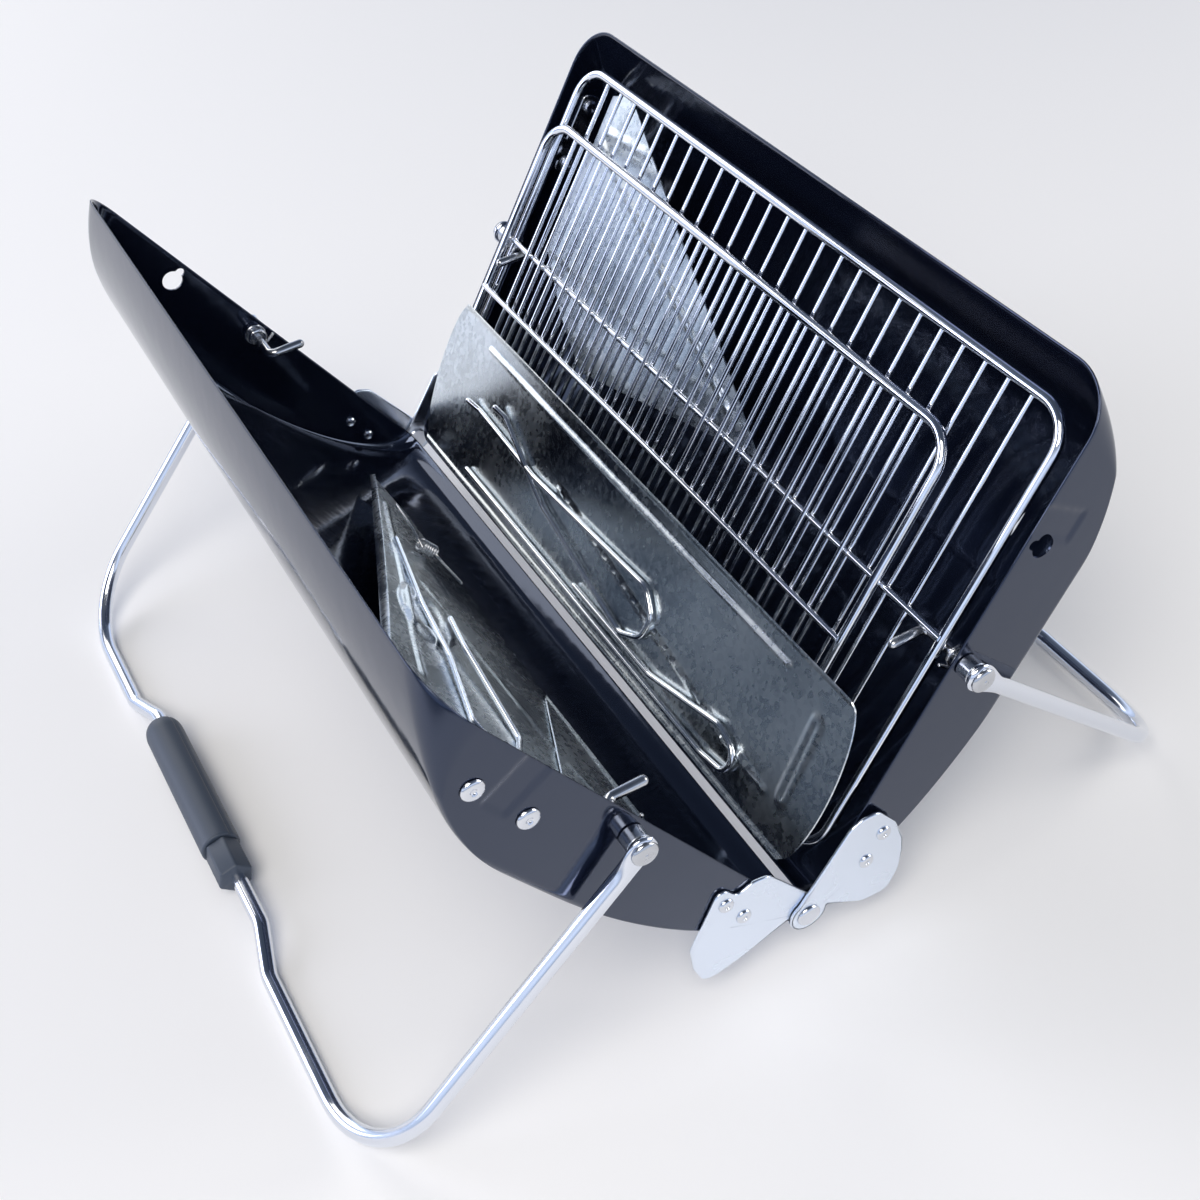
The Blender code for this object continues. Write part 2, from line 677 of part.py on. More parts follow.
def grid(name, parent, finish, low, high, depth, cross):
    """A wire grid as one flat lattice: a round-cornered frame, short wires across it and one long wire."""
    half_wire = GRID_WIRE / 2
    inside = ((low[0] + GRID_FRAME, low[1] + GRID_FRAME), (high[0] - GRID_FRAME, high[1] - GRID_FRAME))
    outlines = [rounded_rectangle(low, high, GRID_CORNER, 5)]
    length = inside[1][1] - inside[0][1]
    count = max(2, int((length - 2 * GRID_END_MARGIN) / GRID_PITCH) + 1)
    first = (inside[0][1] + inside[1][1]) / 2 - GRID_PITCH * (count - 1) / 2
    wires = [first + GRID_PITCH * index for index in range(count)]
    edges = [inside[0][1] - half_wire] + wires + [inside[1][1] + half_wire]
    for before, after in zip(edges, edges[1:]):
        for x0, x1 in ((inside[0][0], cross - half_wire), (cross + half_wire, inside[1][0])):
            y0, y1 = before + half_wire, after - half_wire
            ends_low, ends_high = y0 == inside[0][1], y1 == inside[1][1]
            outlines.append(window(x0, x1, y0, y1, inside, ends_low or ends_high))
    place(flat_curve(name, outlines, GRID_THICKNESS), finish, parent, (0, 0, -depth))


def window(x0, x1, y0, y1, inside, at_end):
    """One opening of a grid, with its corner rounded where it lies in the frame's corner."""
    corners = [(x0, y0), (x1, y0), (x1, y1), (x0, y1)]
    if not at_end:
        return corners
    radius = GRID_CORNER - GRID_FRAME
    outline = []
    for index, (x, y) in enumerate(corners):
        on_side = x in (inside[0][0], inside[1][0])
        on_end = y in (inside[0][1], inside[1][1])
        if not (on_side and on_end):
            outline.append((x, y))
            continue
        mid_x, mid_y = (x0 + x1) / 2, (y0 + y1) / 2
        centre = (x + math.copysign(radius, mid_x - x), y + math.copysign(radius, mid_y - y))
        start = {0: 180, 1: 270, 2: 0, 3: 90}[index]
        outline += arc(centre, radius, start, start + 90, 4)
    return outline


def stretched(points):
    """Points whose second number is a share of the shell's inside half length, with that in metres."""
    return [(point[0], point[1] * INNER_END, *point[2:]) for point in points]


def flat_sheet(name, parent, colours, outline, location=(0, 0, 0)):
    """A flat galvanised sheet."""
    return place(flat_curve(name, [outline], TRAY_SHEET), colours["galvanised"], parent, location)


def wire_tool(name, parent, colours, corners):
    """A bent wire tool lying on its sheet, 0.3 mm clear of it."""
    lift = TRAY_SHEET / 2 + GAP + TOOL_WIRE
    path = rounded_path([(x, y, lift + rise) for x, y, rise in corners], TOOL_BEND, 3)
    place(wire_curve(name, path, TOOL_WIRE, 1), colours["chrome"], parent)


def tilted(name, parent, low, high):
    """A frame for a sheet that leans from one (distance, depth) to another, and the distance between them."""
    run = Vector(high) - Vector(low)
    slope = math.atan2(run.y, run.x)
    return frame(name, parent, (low[0], 0, -low[1]), (0, slope, 0)), run.length


def right_contents(parent, colours):
    """What lies in the right half, from the bottom up: a loose sheet, two grids, a tray and two wire tools."""
    flat_sheet("rear_sheet", parent, colours, stretched(REAR_SHEET), (0, 0, -REAR_SHEET_DEPTH))
    rear_end = INNER_END - REAR_GRID_END_GAP
    grid(
        "rear_grid",
        parent,
        colours["chrome"],
        (LIP_OFFSET + SHEET + REAR_GRID_LIP_GAP, -rear_end),
        (SHELL_WIDTH - REAR_GRID_RIM_GAP, rear_end),
        REAR_GRID_DEPTH,
        LEG_PIVOT_AT + REAR_GRID_CROSS_PAST_LEG_PIN,
    )
    grid(
        "front_grid",
        parent,
        colours["chrome"],
        (LIP_OFFSET + SHEET + FRONT_GRID_LIP_GAP, FRONT_GRID_NEAR_GAP - INNER_END),
        (SHELL_WIDTH - FRONT_GRID_RIM_GAP, INNER_END - FRONT_GRID_FAR_GAP),
        FRONT_GRID_DEPTH,
        LEG_PIVOT_AT + FRONT_GRID_CROSS_PAST_LEG_PIN,
    )
    bed, width = tilted("leaning_tray_frame", parent, TRAY_LOWER, TRAY_UPPER)
    far, near = INNER_END - TRAY_FAR_GAP, TRAY_NEAR_GAP - INNER_END
    reach = Vector((width / 2, TRAY_END_BULGE))
    ends = [(1 - math.cos(math.radians(angle)), math.sin(math.radians(angle))) for angle in range(0, 181, 30)]
    outline = [(reach.x * across, near + reach.y * (1 - along)) for across, along in ends]
    outline += [(reach.x * across, far - reach.y * (1 - along)) for across, along in reversed(ends)]
    flat_sheet("leaning_tray", bed, colours, outline)
    wire_tool("wire_fork", bed, colours, stretched(FORK))
    wire_tool("wire_lifter", bed, colours, stretched(LIFTER))


def left_contents(parent, colours):
    """What lies in the left half: a flanged tray, a small sheet on it and a wire tool."""
    bed, _ = tilted("left_tray_frame", parent, LEFT_TRAY_LOWER, LEFT_TRAY_UPPER)
    near = HALF_LENGTH - SHEET - LEFT_TRAY_END_GAP
    far_side, near_side = stretched(LEFT_TRAY_FAR_SIDE), stretched(LEFT_TRAY_NEAR_SIDE)
    low_corner, high_corner = Vector(far_side[1]), Vector(far_side[2])
    outline = far_side + [(LEFT_TRAY_NEAR_SPAN[1], near), (LEFT_TRAY_NEAR_SPAN[0], near)] + near_side
    tray = as_mesh(flat_sheet("left_tray", bed, colours, outline))
    run = high_corner - low_corner
    side = Vector((run.y, -run.x)).normalized() * TRAY_SHEET
    corners = [low_corner, high_corner, high_corner - side, low_corner - side]
    flange = flat_curve("left_tray_flange", [[tuple(corner) for corner in corners]], FLANGE_HEIGHT)
    bpy.data.collections[CUTTERS].objects.link(flange)
    flange = as_mesh(flange)
    flange.data.transform(Matrix.Translation((0, 0, FLANGE_HEIGHT / 2 - TRAY_SHEET / 4)))
    bpy.data.collections[CUTTERS].objects.unlink(flange)
    combine(tray, flange, "UNION")
    cover_end = near - COVER_SHEET_NEAR_GAP
    cover = stretched(COVER_SHEET) + [(COVER_SHEET_NEAR_SPAN[1], cover_end), (COVER_SHEET_NEAR_SPAN[0], cover_end)]
    flat_sheet("left_cover_sheet", bed, colours, cover, (0, 0, TRAY_SHEET + GAP))
    wire_tool("wire_hook", bed, colours, stretched(HOOK))


def half(side, turn, colours):
    """One half: shell, hinge plates, rivets, latch, leg and the leg's pivots."""
    body = frame(f"{side}_half", HINGE, (0, 0, 0), (0, LEAN - math.pi / 2, turn))
    shell(f"{side}_shell", body, colours["enamel"])
    plates = (
        ("inner", inner_plate_outline(), INNER_PLATE_RIVETS, 1, 0),
        ("outer", outer_plate_outline(), OUTER_PLATE_RIVETS, -1, 1),
    )
    for kind, outline, rivets, end, level in plates:
        tag = f"{side}_{END_NAMES[side][end]}"
        hinge_plate(f"{tag}_hinge_plate", body, colours["zinc"], outline, rivets, end, level)
        for index, spot in enumerate(rivets):
            rivet(f"{tag}_hinge_rivet_{index + 1}", body, colours["chrome"], spot, end, level, 0)
    latch(f"{side}_latch", body, colours["zinc"])
    for index, spot in enumerate(LATCH_RIVETS):
        rivet(f"{side}_latch_rivet_{index + 1}", body, colours["chrome"], spot, 1, -1, LATCH_THICKNESS + GAP)
    swing = frame(f"{side}_leg_pivot", body, (LEG_PIVOT_AT, 0, -LEG_PIVOT_DEPTH), (0, LEG_OPEN, 0))
    leg(f"{side}_leg", swing, colours["chrome"])
    for end in (1, -1):
        leg_fittings(side, end, body, colours)
    return body, swing


def ground_height():
    """How high the hinge stands when both legs' feet are on the ground."""
    rim, mouth = math.cos(LEAN), math.sin(LEAN)
    pivot = rim * LEG_PIVOT_AT - mouth * LEG_PIVOT_DEPTH
    foot = LEG_REACH * (rim * math.cos(LEG_OPEN) - mouth * math.sin(LEG_OPEN))
    return LEG_ROD - pivot - foot


empty_scene()
FINISHES = finishes()
HINGE = frame("hinge_axis", None, (0, 0, ground_height()))
right_body, _ = half("right", 0, FINISHES)
left_body, left_swing = half("left", math.pi, FINISHES)
grip(left_swing, FINISHES)
for hinge_end in (1, -1):
    hinge_pin(f"{END_NAMES['right'][hinge_end]}_hinge_pin", right_body, FINISHES["chrome"], hinge_end)
right_contents(right_body, FINISHES)
left_contents(left_body, FINISHES)
bpy.context.view_layer.update()
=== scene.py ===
"""Looks of a folding camp grill: two black enamelled half shells hinged along one edge, on two wire legs,
with wire grids, galvanised trays and wire tools lying inside.

Each half has a frame of its own: X runs along the shell's end from the hinge, Y along the hinge and
Z out of the shell's mouth. The left half is the right one turned half a turn about the upright.
Lengths are in metres.
"""

import math

import bmesh
import bpy
import numpy as np
from mathutils import Matrix, Vector
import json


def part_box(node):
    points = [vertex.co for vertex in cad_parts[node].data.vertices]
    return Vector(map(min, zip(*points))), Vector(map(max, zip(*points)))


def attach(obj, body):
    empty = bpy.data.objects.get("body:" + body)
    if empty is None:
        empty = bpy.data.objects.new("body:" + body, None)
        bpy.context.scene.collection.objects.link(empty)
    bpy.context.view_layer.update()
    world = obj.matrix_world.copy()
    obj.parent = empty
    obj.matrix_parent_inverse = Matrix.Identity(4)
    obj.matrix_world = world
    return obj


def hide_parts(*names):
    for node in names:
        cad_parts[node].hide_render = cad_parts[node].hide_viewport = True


bl_info = {
    "name": "Folding camp grill",
    "version": (1, 0, 0),
    "blender": (4, 5, 0),
    "location": "3D View > Sidebar > Camp grill",
    "description": "Builds the visible surfaces of a folding camp grill round its CAD frame",
    "category": "Object",
}

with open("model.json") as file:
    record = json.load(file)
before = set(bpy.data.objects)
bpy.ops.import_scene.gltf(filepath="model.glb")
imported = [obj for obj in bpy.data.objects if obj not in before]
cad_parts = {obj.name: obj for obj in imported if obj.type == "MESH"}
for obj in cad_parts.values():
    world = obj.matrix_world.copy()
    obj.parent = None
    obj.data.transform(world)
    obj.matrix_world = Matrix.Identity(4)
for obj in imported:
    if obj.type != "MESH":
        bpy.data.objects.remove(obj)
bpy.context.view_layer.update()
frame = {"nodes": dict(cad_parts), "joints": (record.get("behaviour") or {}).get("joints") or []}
JOINTS = {joint["name"]: joint for joint in frame["joints"]}

# Places that the joints give
LEAN = math.radians(-JOINTS["case_fold"]["range_deg"][0] / 2)
HINGE = np.array(JOINTS["case_fold"]["pos_m"])
LEG_OPEN = math.radians(-JOINTS["right_leg_swing"]["range_deg"][0])
RIM_AXIS = np.array((math.sin(LEAN), 0, math.cos(LEAN)))
MOUTH_AXIS = np.array((-math.cos(LEAN), 0, math.sin(LEAN)))
PIVOT = np.array(JOINTS["right_leg_swing"]["pos_m"]) - HINGE
LEG_PIVOT = np.array((PIVOT @ RIM_AXIS, 0, PIVOT @ MOUTH_AXIS))

# Shells
SHEET = 0.0012
HALF_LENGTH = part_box("right_shell")[1].y
INNER_END = HALF_LENGTH - SHEET
SHELL_WIDTH = 0.2705
LIP_OFFSET = 0.003
SHELL_DEPTH = 0.047
DEEPEST_AT = 0.160
RIM_CORNER = 0.025
LIP_CORNER = 0.010
FOLD_RADIUS = 0.004
CORNER_FADE_DEPTH = 0.030
RIM_GAP = 0.0004
GAP = 0.0003
CHANNEL = (0.2005, 0.2165)
CHANNEL_DEPTH = 0.026
CHANNEL_SINK = 0.0009
CHANNEL_BEND = 0.0018
SHELL_CREASE = 50
VENT_AT = (0.1974, 0.0113)
VENT_RADIUS = 0.0055
VENT_CUT = 0.004

# Hinges, rivets and latches
PLATE_THICKNESS = 0.0018
EAR_RADIUS = 0.0095
PIVOT_RADIUS = 0.003
PIVOT_HEAD = 0.009
RIVET_HEAD = 0.0038
RIVET_SPOTS = {
    "inner": ((0.0526, 0.0152), (0.0361, 0.0157)),
    "outer": ((0.048, 0.0165), (0.0315, 0.0165)),
}
RIVET_HEIGHT = 0.0016
PLATE_CORNER = 0.006
PLATE_STEP = 0.0012
PLATE_SPINE = np.array((0.036, 0, -0.024))
LATCH_SPOTS = ((0.2250, 0.0215), (0.1910, 0.0215))
LATCH_HEAD = 0.0050
LATCH_HEAD_HEIGHT = 0.0017
LATCH_MARGIN = 0.006
LATCH_CORNER = 0.003
LATCH_DIMPLE = 0.0009
LATCH_THICKNESS = 0.0012
LATCH_REACH = -0.002
LATCH_HALF_WIDTH = 0.0065

# Legs
LEG_REACH = 0.197
LEG_BEND = 0.050
LEG_TAPER = 0.008
EYE_CENTRE = HALF_LENGTH + 0.0095
EYE_RADIUS = 0.007
EYE_THICKNESS = 0.004
JOG_DEPTH = 0.010
JOG_OUTER = 0.105
JOG_INNER = 0.080
JOG_CENTRE = -0.015
JOG_BEND = 0.012
GRIP_OFFSET = 0.0015
GRIP_COVER = (-0.086, 0.012)
GRIP_INSERT = (0.0125, 0.034)
GRIP_SCREW_INSET = 0.014
PIN_RADIUS = 0.0024
PIN_ANGLE = math.radians(58)
PIN_TAIL = 0.020
PIN_INBOARD = {1: 0.0200, -1: 0.0260}
PIN_BEND = 0.004
PIN_HEAD = 0.006
SPACER_RADIUS = 0.0055
WASHER_RADIUS = 0.006
WASHER_THICKNESS = 0.001
CLIP_RADIUS = 0.0045
CLIP_SETBACK = 0.0035
PIN_KEEP = (0.848, 0, 0.53)
WASHER_FACE = INNER_END - GAP
EASE = 0.0003
LEG_STEP = 0.0016
COVER_NOSE = 0.009
COVER_EDGE = 0.0012
INSERT_EASE = 0.0010
SLOT_DEPTH = 0.002
SCREW_RADIUS = 0.0019

# Grids
GRID_CORNER = 0.0175
GRID_MARGIN = 0.017
CROSS_WIRES = {"rear_grid": 0.1415, "front_grid": 0.1100}

# Trays
TRAY_LOWER = (0.0125, -0.0095)
TRAY_UPPER = (0.1020, -0.0195)
TRAY_FAR_GAP = 0.0130
TRAY_NEAR_GAP = 0.0070
TRAY_END_BULGE = 0.013
REAR_SHEET_DEPTH = 0.0140
LEFT_TRAY_LOWER = (0.0400, 0.0255)
LEFT_TRAY_UPPER = (0.2100, 0.0367)
LEFT_TRAY_END_GAP = 0.0240
FLANGE_HEIGHT = 0.005
FLANGE_LINE = np.array(((0.010, -0.158), (0.152, 0.105)))
REAR_SHEET_END_GAP = 0.029
COVER_SHEET_GAP = 0.004
TRAY_HALF_SHEET = 0.0006
TOOL_BEND = 0.009
TOOL_STEP = 0.002
SPRING_TURNS = 6
SPRING_RADIUS = 0.0030
SPRING_WIRE = 0.0007
SPRING_AT = (0.018, -0.066, 0.0050)

# Camera
CAMERA_DISTANCE = 0.8633
CAMERA_SHIFT = (0.0110, 0.0190)
CAMERA_AZIMUTH = math.radians(-24.8213)
CAMERA_ELEVATION = math.radians(43.5144)
CAMERA_ROLL = math.radians(-6.6388)

ENDS = {"right": {1: "far", -1: "near"}, "left": {1: "near", -1: "far"}}


# Frames


def half_frame(side):
    """Matrix from a half's own frame to the row frame."""
    turn = 1 if side == "right" else -1
    columns = (RIM_AXIS * (turn, 1, 1), np.array((0, turn, 0)), MOUTH_AXIS * (turn, 1, 1), HINGE)
    matrix = np.eye(4)
    matrix[:3, :4] = np.stack(columns, axis=1)
    return matrix


def turned_about_y(place, angle):
    """Matrix that sets a frame at place, turned about Y."""
    matrix = np.eye(4)
    matrix[:3, :3] = np.array(Matrix.Rotation(angle, 3, "Y"))
    matrix[:3, 3] = place
    return matrix


def leg_frame(side):
    """Matrix from a leg's frame, X away from the pivots, to the row frame."""
    return half_frame(side) @ turned_about_y(LEG_PIVOT, LEG_OPEN)


def tray_frame(side, low, high):
    """Matrix from a sloping tray's frame to the row frame, and the tray's width from low to high,
    which are each (distance from the hinge, depth under the rim)."""
    run = np.subtract(high, low)
    slope = math.atan2(run[1], run[0])
    return half_frame(side) @ turned_about_y((low[0], 0, -low[1]), slope), math.hypot(*run)


# Shapes on grids of points


def lattice(rows, columns, around=True, closed=False):
    """Four-sided faces over rows x columns points; columns run round if around, rows if closed."""
    row = np.arange(rows if closed else rows - 1)[:, None]
    column = np.arange(columns if around else columns - 1)[None, :]
    after_row, after_column = (row + 1) % rows, (column + 1) % columns
    corners = (row * columns + column, row * columns + after_column)
    corners += (after_row * columns + after_column, after_row * columns + column)
    return np.stack(np.broadcast_arrays(*corners), axis=-1).reshape(-1, 4)


def unit(vectors):
    """Each vector along the last axis brought to length one."""
    return vectors / np.maximum(np.linalg.norm(vectors, axis=-1, keepdims=True), 1e-12)


def smooth_step(values, low, high):
    """0 below low and 1 above high, with no corner between."""
    share = np.clip((values - low) / (high - low), 0, 1)
    return share * share * (3 - 2 * share)


class Shape:
    """The points and faces of one piece, gathered from several surfaces."""

    def __init__(self):
        self.points = []
        self.faces = []
        self.count = 0

    def add(self, points, faces):
        """Points in any array of triples, and faces that number them from 0."""
        points = np.asarray(points, float).reshape(-1, 3)
        self.points.append(points)
        for block in faces:
            self.faces.extend((np.asarray(block) + self.count).tolist())
        self.count += len(points)

    def skin(self, rings, closed=False):
        """A tube through rings of points, its two ends closed by fans."""
        rows, columns = rings.shape[:2]
        blocks = [lattice(rows, columns, True, closed)]
        points = rings.reshape(-1, 3)
        if not closed:
            points = np.concatenate([points, rings[[0, -1]].mean(axis=1)])
            around = np.arange(columns)
            last = (rows - 1) * columns
            after = (around + 1) % columns
            bottom = np.full(columns, rows * columns)
            blocks.append(np.stack([after, around, bottom], axis=1))
            blocks.append(np.stack([last + around, last + after, bottom + 1], axis=1))
        self.add(points, blocks)

    def rod(self, path, radius, sides=12, keep=(0, 0, 1), closed=False):
        """A round rod along a path, its ends rounded off."""
        path = np.asarray(path, float)
        radii = np.full(len(path), radius)
        if not closed:
            turn = np.radians((80, 55, 28))[:, None]
            start = path[0] + unit(path[0] - path[1]) * radius * np.sin(turn)
            finish = path[-1] + unit(path[-1] - path[-2]) * radius * np.sin(turn[::-1])
            shrink = radius * np.cos(turn[:, 0])
            path = np.concatenate([start, path, finish])
            radii = np.concatenate([shrink, radii, shrink[::-1]])
        self.skin(sweep(path, radii, radii, sides, keep, closed), closed)

    def rods(self, starts, stops, radius, sides=12):
        """Many straight rods of one radius from each start to its stop: one ring at each end, all at once."""
        starts, stops = np.asarray(starts, float), np.asarray(stops, float)
        ends = np.stack([starts, stops], axis=1)
        along = unit(stops - starts)
        side = unit(np.cross(along, (0, 0, 1)))
        top = np.cross(side, along)
        angle = np.linspace(0, math.tau, sides, endpoint=False)
        round_them = np.cos(angle)[:, None] * side[:, None] + np.sin(angle)[:, None] * top[:, None]
        points = ends[:, :, None] + radius * round_them[:, None]
        walls = lattice(2, sides)
        caps = np.stack([np.arange(sides)[::-1], np.arange(sides) + sides])
        shift = (np.arange(len(starts)) * 2 * sides)[:, None, None]
        self.add(points, [(walls + shift).reshape(-1, 4), (caps + shift).reshape(-1, sides)])

    def turn(self, profile, place, axis=(0, 1, 0), sides=40):
        """A profile of (radius, distance) turned about an axis through place."""
        radius, along = np.array(profile, float).T
        axis = unit(np.array(axis, float))
        side = unit(np.cross(axis, (0.31, 0.17, 0.93)))
        other = np.cross(axis, side)
        angle = np.linspace(0, math.tau, sides, endpoint=False)[None, :, None]
        around = np.cos(angle) * side + np.sin(angle) * other
        rings = np.asarray(place) + along[:, None, None] * axis + radius[:, None, None] * around
        self.skin(rings)

    def slab(self, upper, thickness):
        """A sheet: two skins, half the thickness either way along the surface's normals, and a rim."""
        rows, columns = upper.shape[:2]
        normal = unit(np.cross(np.gradient(upper, axis=0), np.gradient(upper, axis=1)))
        half = normal * thickness / 2
        size = rows * columns
        front = lattice(rows, columns, False)
        index = np.arange(size).reshape(rows, columns)
        border = np.concatenate([index[0, :-1], index[:-1, -1], index[-1, :0:-1], index[:0:-1, 0]])
        middle = upper.reshape(-1, 3)[border] + self._outward(upper, border) * thickness * 0.35
        follow = np.roll(border, -1)
        ring = np.arange(len(border)) + 2 * size
        after = np.roll(ring, -1)
        rims = [np.stack([border, follow, after, ring], axis=1)]
        rims.append(np.stack([ring, after, follow + size, border + size], axis=1))
        points = np.concatenate([(upper + half).reshape(-1, 3), (upper - half).reshape(-1, 3), middle])
        self.add(points, [front, front[:, ::-1] + size] + rims)

    @staticmethod
    def _outward(upper, border):
        """Directions out of a surface at its border points, taken from the border's own middle."""
        edge = upper.reshape(-1, 3)[border]
        along = unit(np.roll(edge, -1, axis=0) - np.roll(edge, 1, axis=0))
        away = edge - edge.mean(axis=0)
        return unit(away - along * (away * along).sum(axis=1, keepdims=True))

    def mesh(self, name, matrix):
        """The points placed by a matrix and the faces, turned outward, as a mesh."""
        points = np.concatenate(self.points) @ matrix[:3, :3].T + matrix[:3, 3]
        mesh = bpy.data.meshes.new(name)
        mesh.from_pydata(points.tolist(), [], self.faces)
        work = bmesh.new()
        work.from_mesh(mesh)
        bmesh.ops.remove_doubles(work, verts=work.verts, dist=1e-7)
        bmesh.ops.recalc_face_normals(work, faces=work.faces)
        work.to_mesh(mesh)
        work.free()
        return mesh

    def piece(self, node_name, matrix, look, body, crease=40, name=None):
        """The mesh object that stands for a CAD node, in the look's finish, riding on its body."""
        name = name or f"{node_name}_visual"
        mesh = self.mesh(name, matrix)
        smooth(mesh, crease)
        mesh.materials.append(MATERIALS[look])
        obj = linked(name, mesh)
        bpy.context.view_layer.update()
        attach(obj, body)
        if node_name:
            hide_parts(node_name)
        return obj


def smooth(mesh, crease):
    """Smooth shading, but for edges that turn by more than crease degrees."""
    mesh.polygons.foreach_set("use_smooth", np.ones(len(mesh.polygons), bool))
    mesh.set_sharp_from_angle(angle=math.radians(crease))


def linked(name, data):
    """A new object in the scene that holds this data."""
    obj = bpy.data.objects.new(name, data)
    bpy.context.scene.collection.objects.link(obj)
    return obj


def sweep(path, across, up, sides, keep, closed=False):
    """Rings along a path, with a half width at each point sideways (across) and towards keep (up)."""
    if closed:
        along = unit(np.roll(path, -1, axis=0) - np.roll(path, 1, axis=0))
    else:
        along = unit(np.gradient(path, axis=0))
    side = unit(np.cross(along, keep))
    top = np.cross(side, along)
    angle = np.linspace(0, math.tau, sides, endpoint=False)[None, :, None]
    wide = np.cos(angle) * side[:, None] * np.asarray(across)[:, None, None]
    high = np.sin(angle) * top[:, None] * np.asarray(up)[:, None, None]
    return path[:, None] + wide + high


def rounded(points, radius, steps=9, closed=False):
    """The path through points with each corner turned into an arc of that radius, or what fits of it.
    An arc is the rational curve of its ends and its corner, weighted by the sine of half the angle."""
    points = np.asarray(points, float)
    radius = np.broadcast_to(radius, len(points))
    back, ahead = np.roll(points, 1, axis=0) - points, np.roll(points, -1, axis=0) - points
    reach = np.minimum(np.linalg.norm(back, axis=1), np.linalg.norm(ahead, axis=1)) * 0.49
    back, ahead = unit(back), unit(ahead)
    half = np.arccos(np.clip((back * ahead).sum(axis=1), -1, 1)) / 2
    cut = np.minimum(radius / np.tan(np.clip(half, 0.02, None)), reach)[:, None, None]
    share = np.linspace(0, 1, steps)[None, :, None]
    weight = np.sin(half)[:, None, None]
    corner = points[:, None]
    start, stop = corner + back[:, None] * cut, corner + ahead[:, None] * cut
    first, second, third = (1 - share) ** 2, 2 * weight * share * (1 - share), share**2
    curves = (first * start + second * corner + third * stop) / (first + second + third)
    if closed:
        return curves.reshape(-1, 3)
    return np.concatenate([points[:1], curves[1:-1].reshape(-1, 3), points[-1:]])


def even(path, spacing):
    """The same path with points at even spacing."""
    step = np.linalg.norm(np.diff(path, axis=0), axis=1)
    along = np.concatenate([[0], np.cumsum(step)])
    wanted = np.linspace(0, along[-1], max(3, int(along[-1] / spacing) + 1))
    return np.stack([np.interp(wanted, along, path[:, axis]) for axis in range(3)], axis=1)


def rectangle(low, high, radius, height, steps=12):
    """A round-cornered rectangle as a closed path at one height."""
    flat = [(low[0], low[1]), (high[0], low[1]), (high[0], high[1]), (low[0], high[1])]
    corners = [(x, y, height) for x, y in flat]
    return rounded(corners, radius, steps, closed=True)


# Materials


def linear(code):
    """An sRGB colour such as 1A2B3C as linear red, green, blue and alpha."""
    values = np.array([int(code[i : i + 2], 16) for i in (0, 2, 4)]) / 255
    values = np.where(values <= 0.04045, values / 12.92, ((values + 0.055) / 1.055) ** 2.4)
    return (*values.tolist(), 1.0)


def finish(name, colour, roughness, metallic, ior=1.5, **sockets):
    """A material whose shader holds these constants, with its nodes and its shader."""
    material = bpy.data.materials.new(name)
    material.use_nodes = True
    shader = material.node_tree.nodes["Principled BSDF"]
    shader.inputs["Base Color"].default_value = linear(colour)
    shader.inputs["Roughness"].default_value = roughness
    shader.inputs["Metallic"].default_value = metallic
    shader.inputs["IOR"].default_value = ior
    for socket, value in sockets.items():
        shader.inputs[socket.replace("_", " ")].default_value = value
    return material, shader


def node(material, kind, inputs=None, **settings):
    """A new node with its settings made, its constants set and its links drawn."""
    made = material.node_tree.nodes.new(kind)
    for setting, value in settings.items():
        setattr(made, setting, value)
    for socket, value in (inputs or {}).items():
        if isinstance(value, bpy.types.NodeSocket):
            material.node_tree.links.new(value, made.inputs[socket])
        else:
            made.inputs[socket].default_value = value
    return made


def mapped(material, source, low, high, to_low, to_high):
    """A value carried from one range to another."""
    inputs = {"Value": source, "From Min": low, "From Max": high, "To Min": to_low, "To Max": to_high}
    return node(material, "ShaderNodeMapRange", inputs).outputs["Result"]


def bump(material, shader, height, distance, strength=1.0):
    """Relief on the shader from a height between 0 and 1."""
    made = node(material, "ShaderNodeBump", {"Height": height, "Distance": distance, "Strength": strength})
    material.node_tree.links.new(made.outputs["Normal"], shader.inputs["Normal"])


def place_of(material):
    """Object coordinates, in metres."""
    return node(material, "ShaderNodeTexCoord").outputs["Object"]


def enamel_finish(colour):
    """Stoved black enamel: a dark glossy coat that flows out a little unevenly, with fine dust nibs."""
    material, shader = finish("black_enamel", colour, 0.09, 0.0, 1.55)
    # The glass of the enamel throws back a bluish sheen, and more of it than a plain paint.
    shader.inputs["Specular IOR Level"].default_value = 1.0
    shader.inputs["Specular Tint"].default_value = linear("C4D4F8")
    where = place_of(material)
    # The flow of the coat bends reflections over about 12 mm; the nibs are specks about 1 mm apart.
    flow = node(material, "ShaderNodeTexNoise", {"Vector": where, "Scale": 80.0, "Detail": 1.0})
    nibs = node(material, "ShaderNodeTexVoronoi", {"Vector": where, "Scale": 420.0})
    speck = mapped(material, nibs.outputs["Distance"], 0.0, 0.16, 1.0, 0.0)
    inputs = {0: speck, 1: 0.06, 2: flow.outputs["Fac"]}
    relief = node(material, "ShaderNodeMath", inputs, operation="MULTIPLY_ADD")
    bump(material, shader, relief.outputs[0], 0.00009)
    return material


def plated_finish(name, colour, low, high, scale):
    """Bright plating: a metal whose roughness drifts a little from place to place."""
    material, shader = finish(name, colour, low, 1.0)
    inputs = {"Vector": place_of(material), "Scale": scale, "Detail": 3.0}
    noise = node(material, "ShaderNodeTexNoise", inputs)
    rough = mapped(material, noise.outputs["Fac"], 0.35, 0.7, low, high)
    material.node_tree.links.new(rough, shader.inputs["Roughness"])
    return material


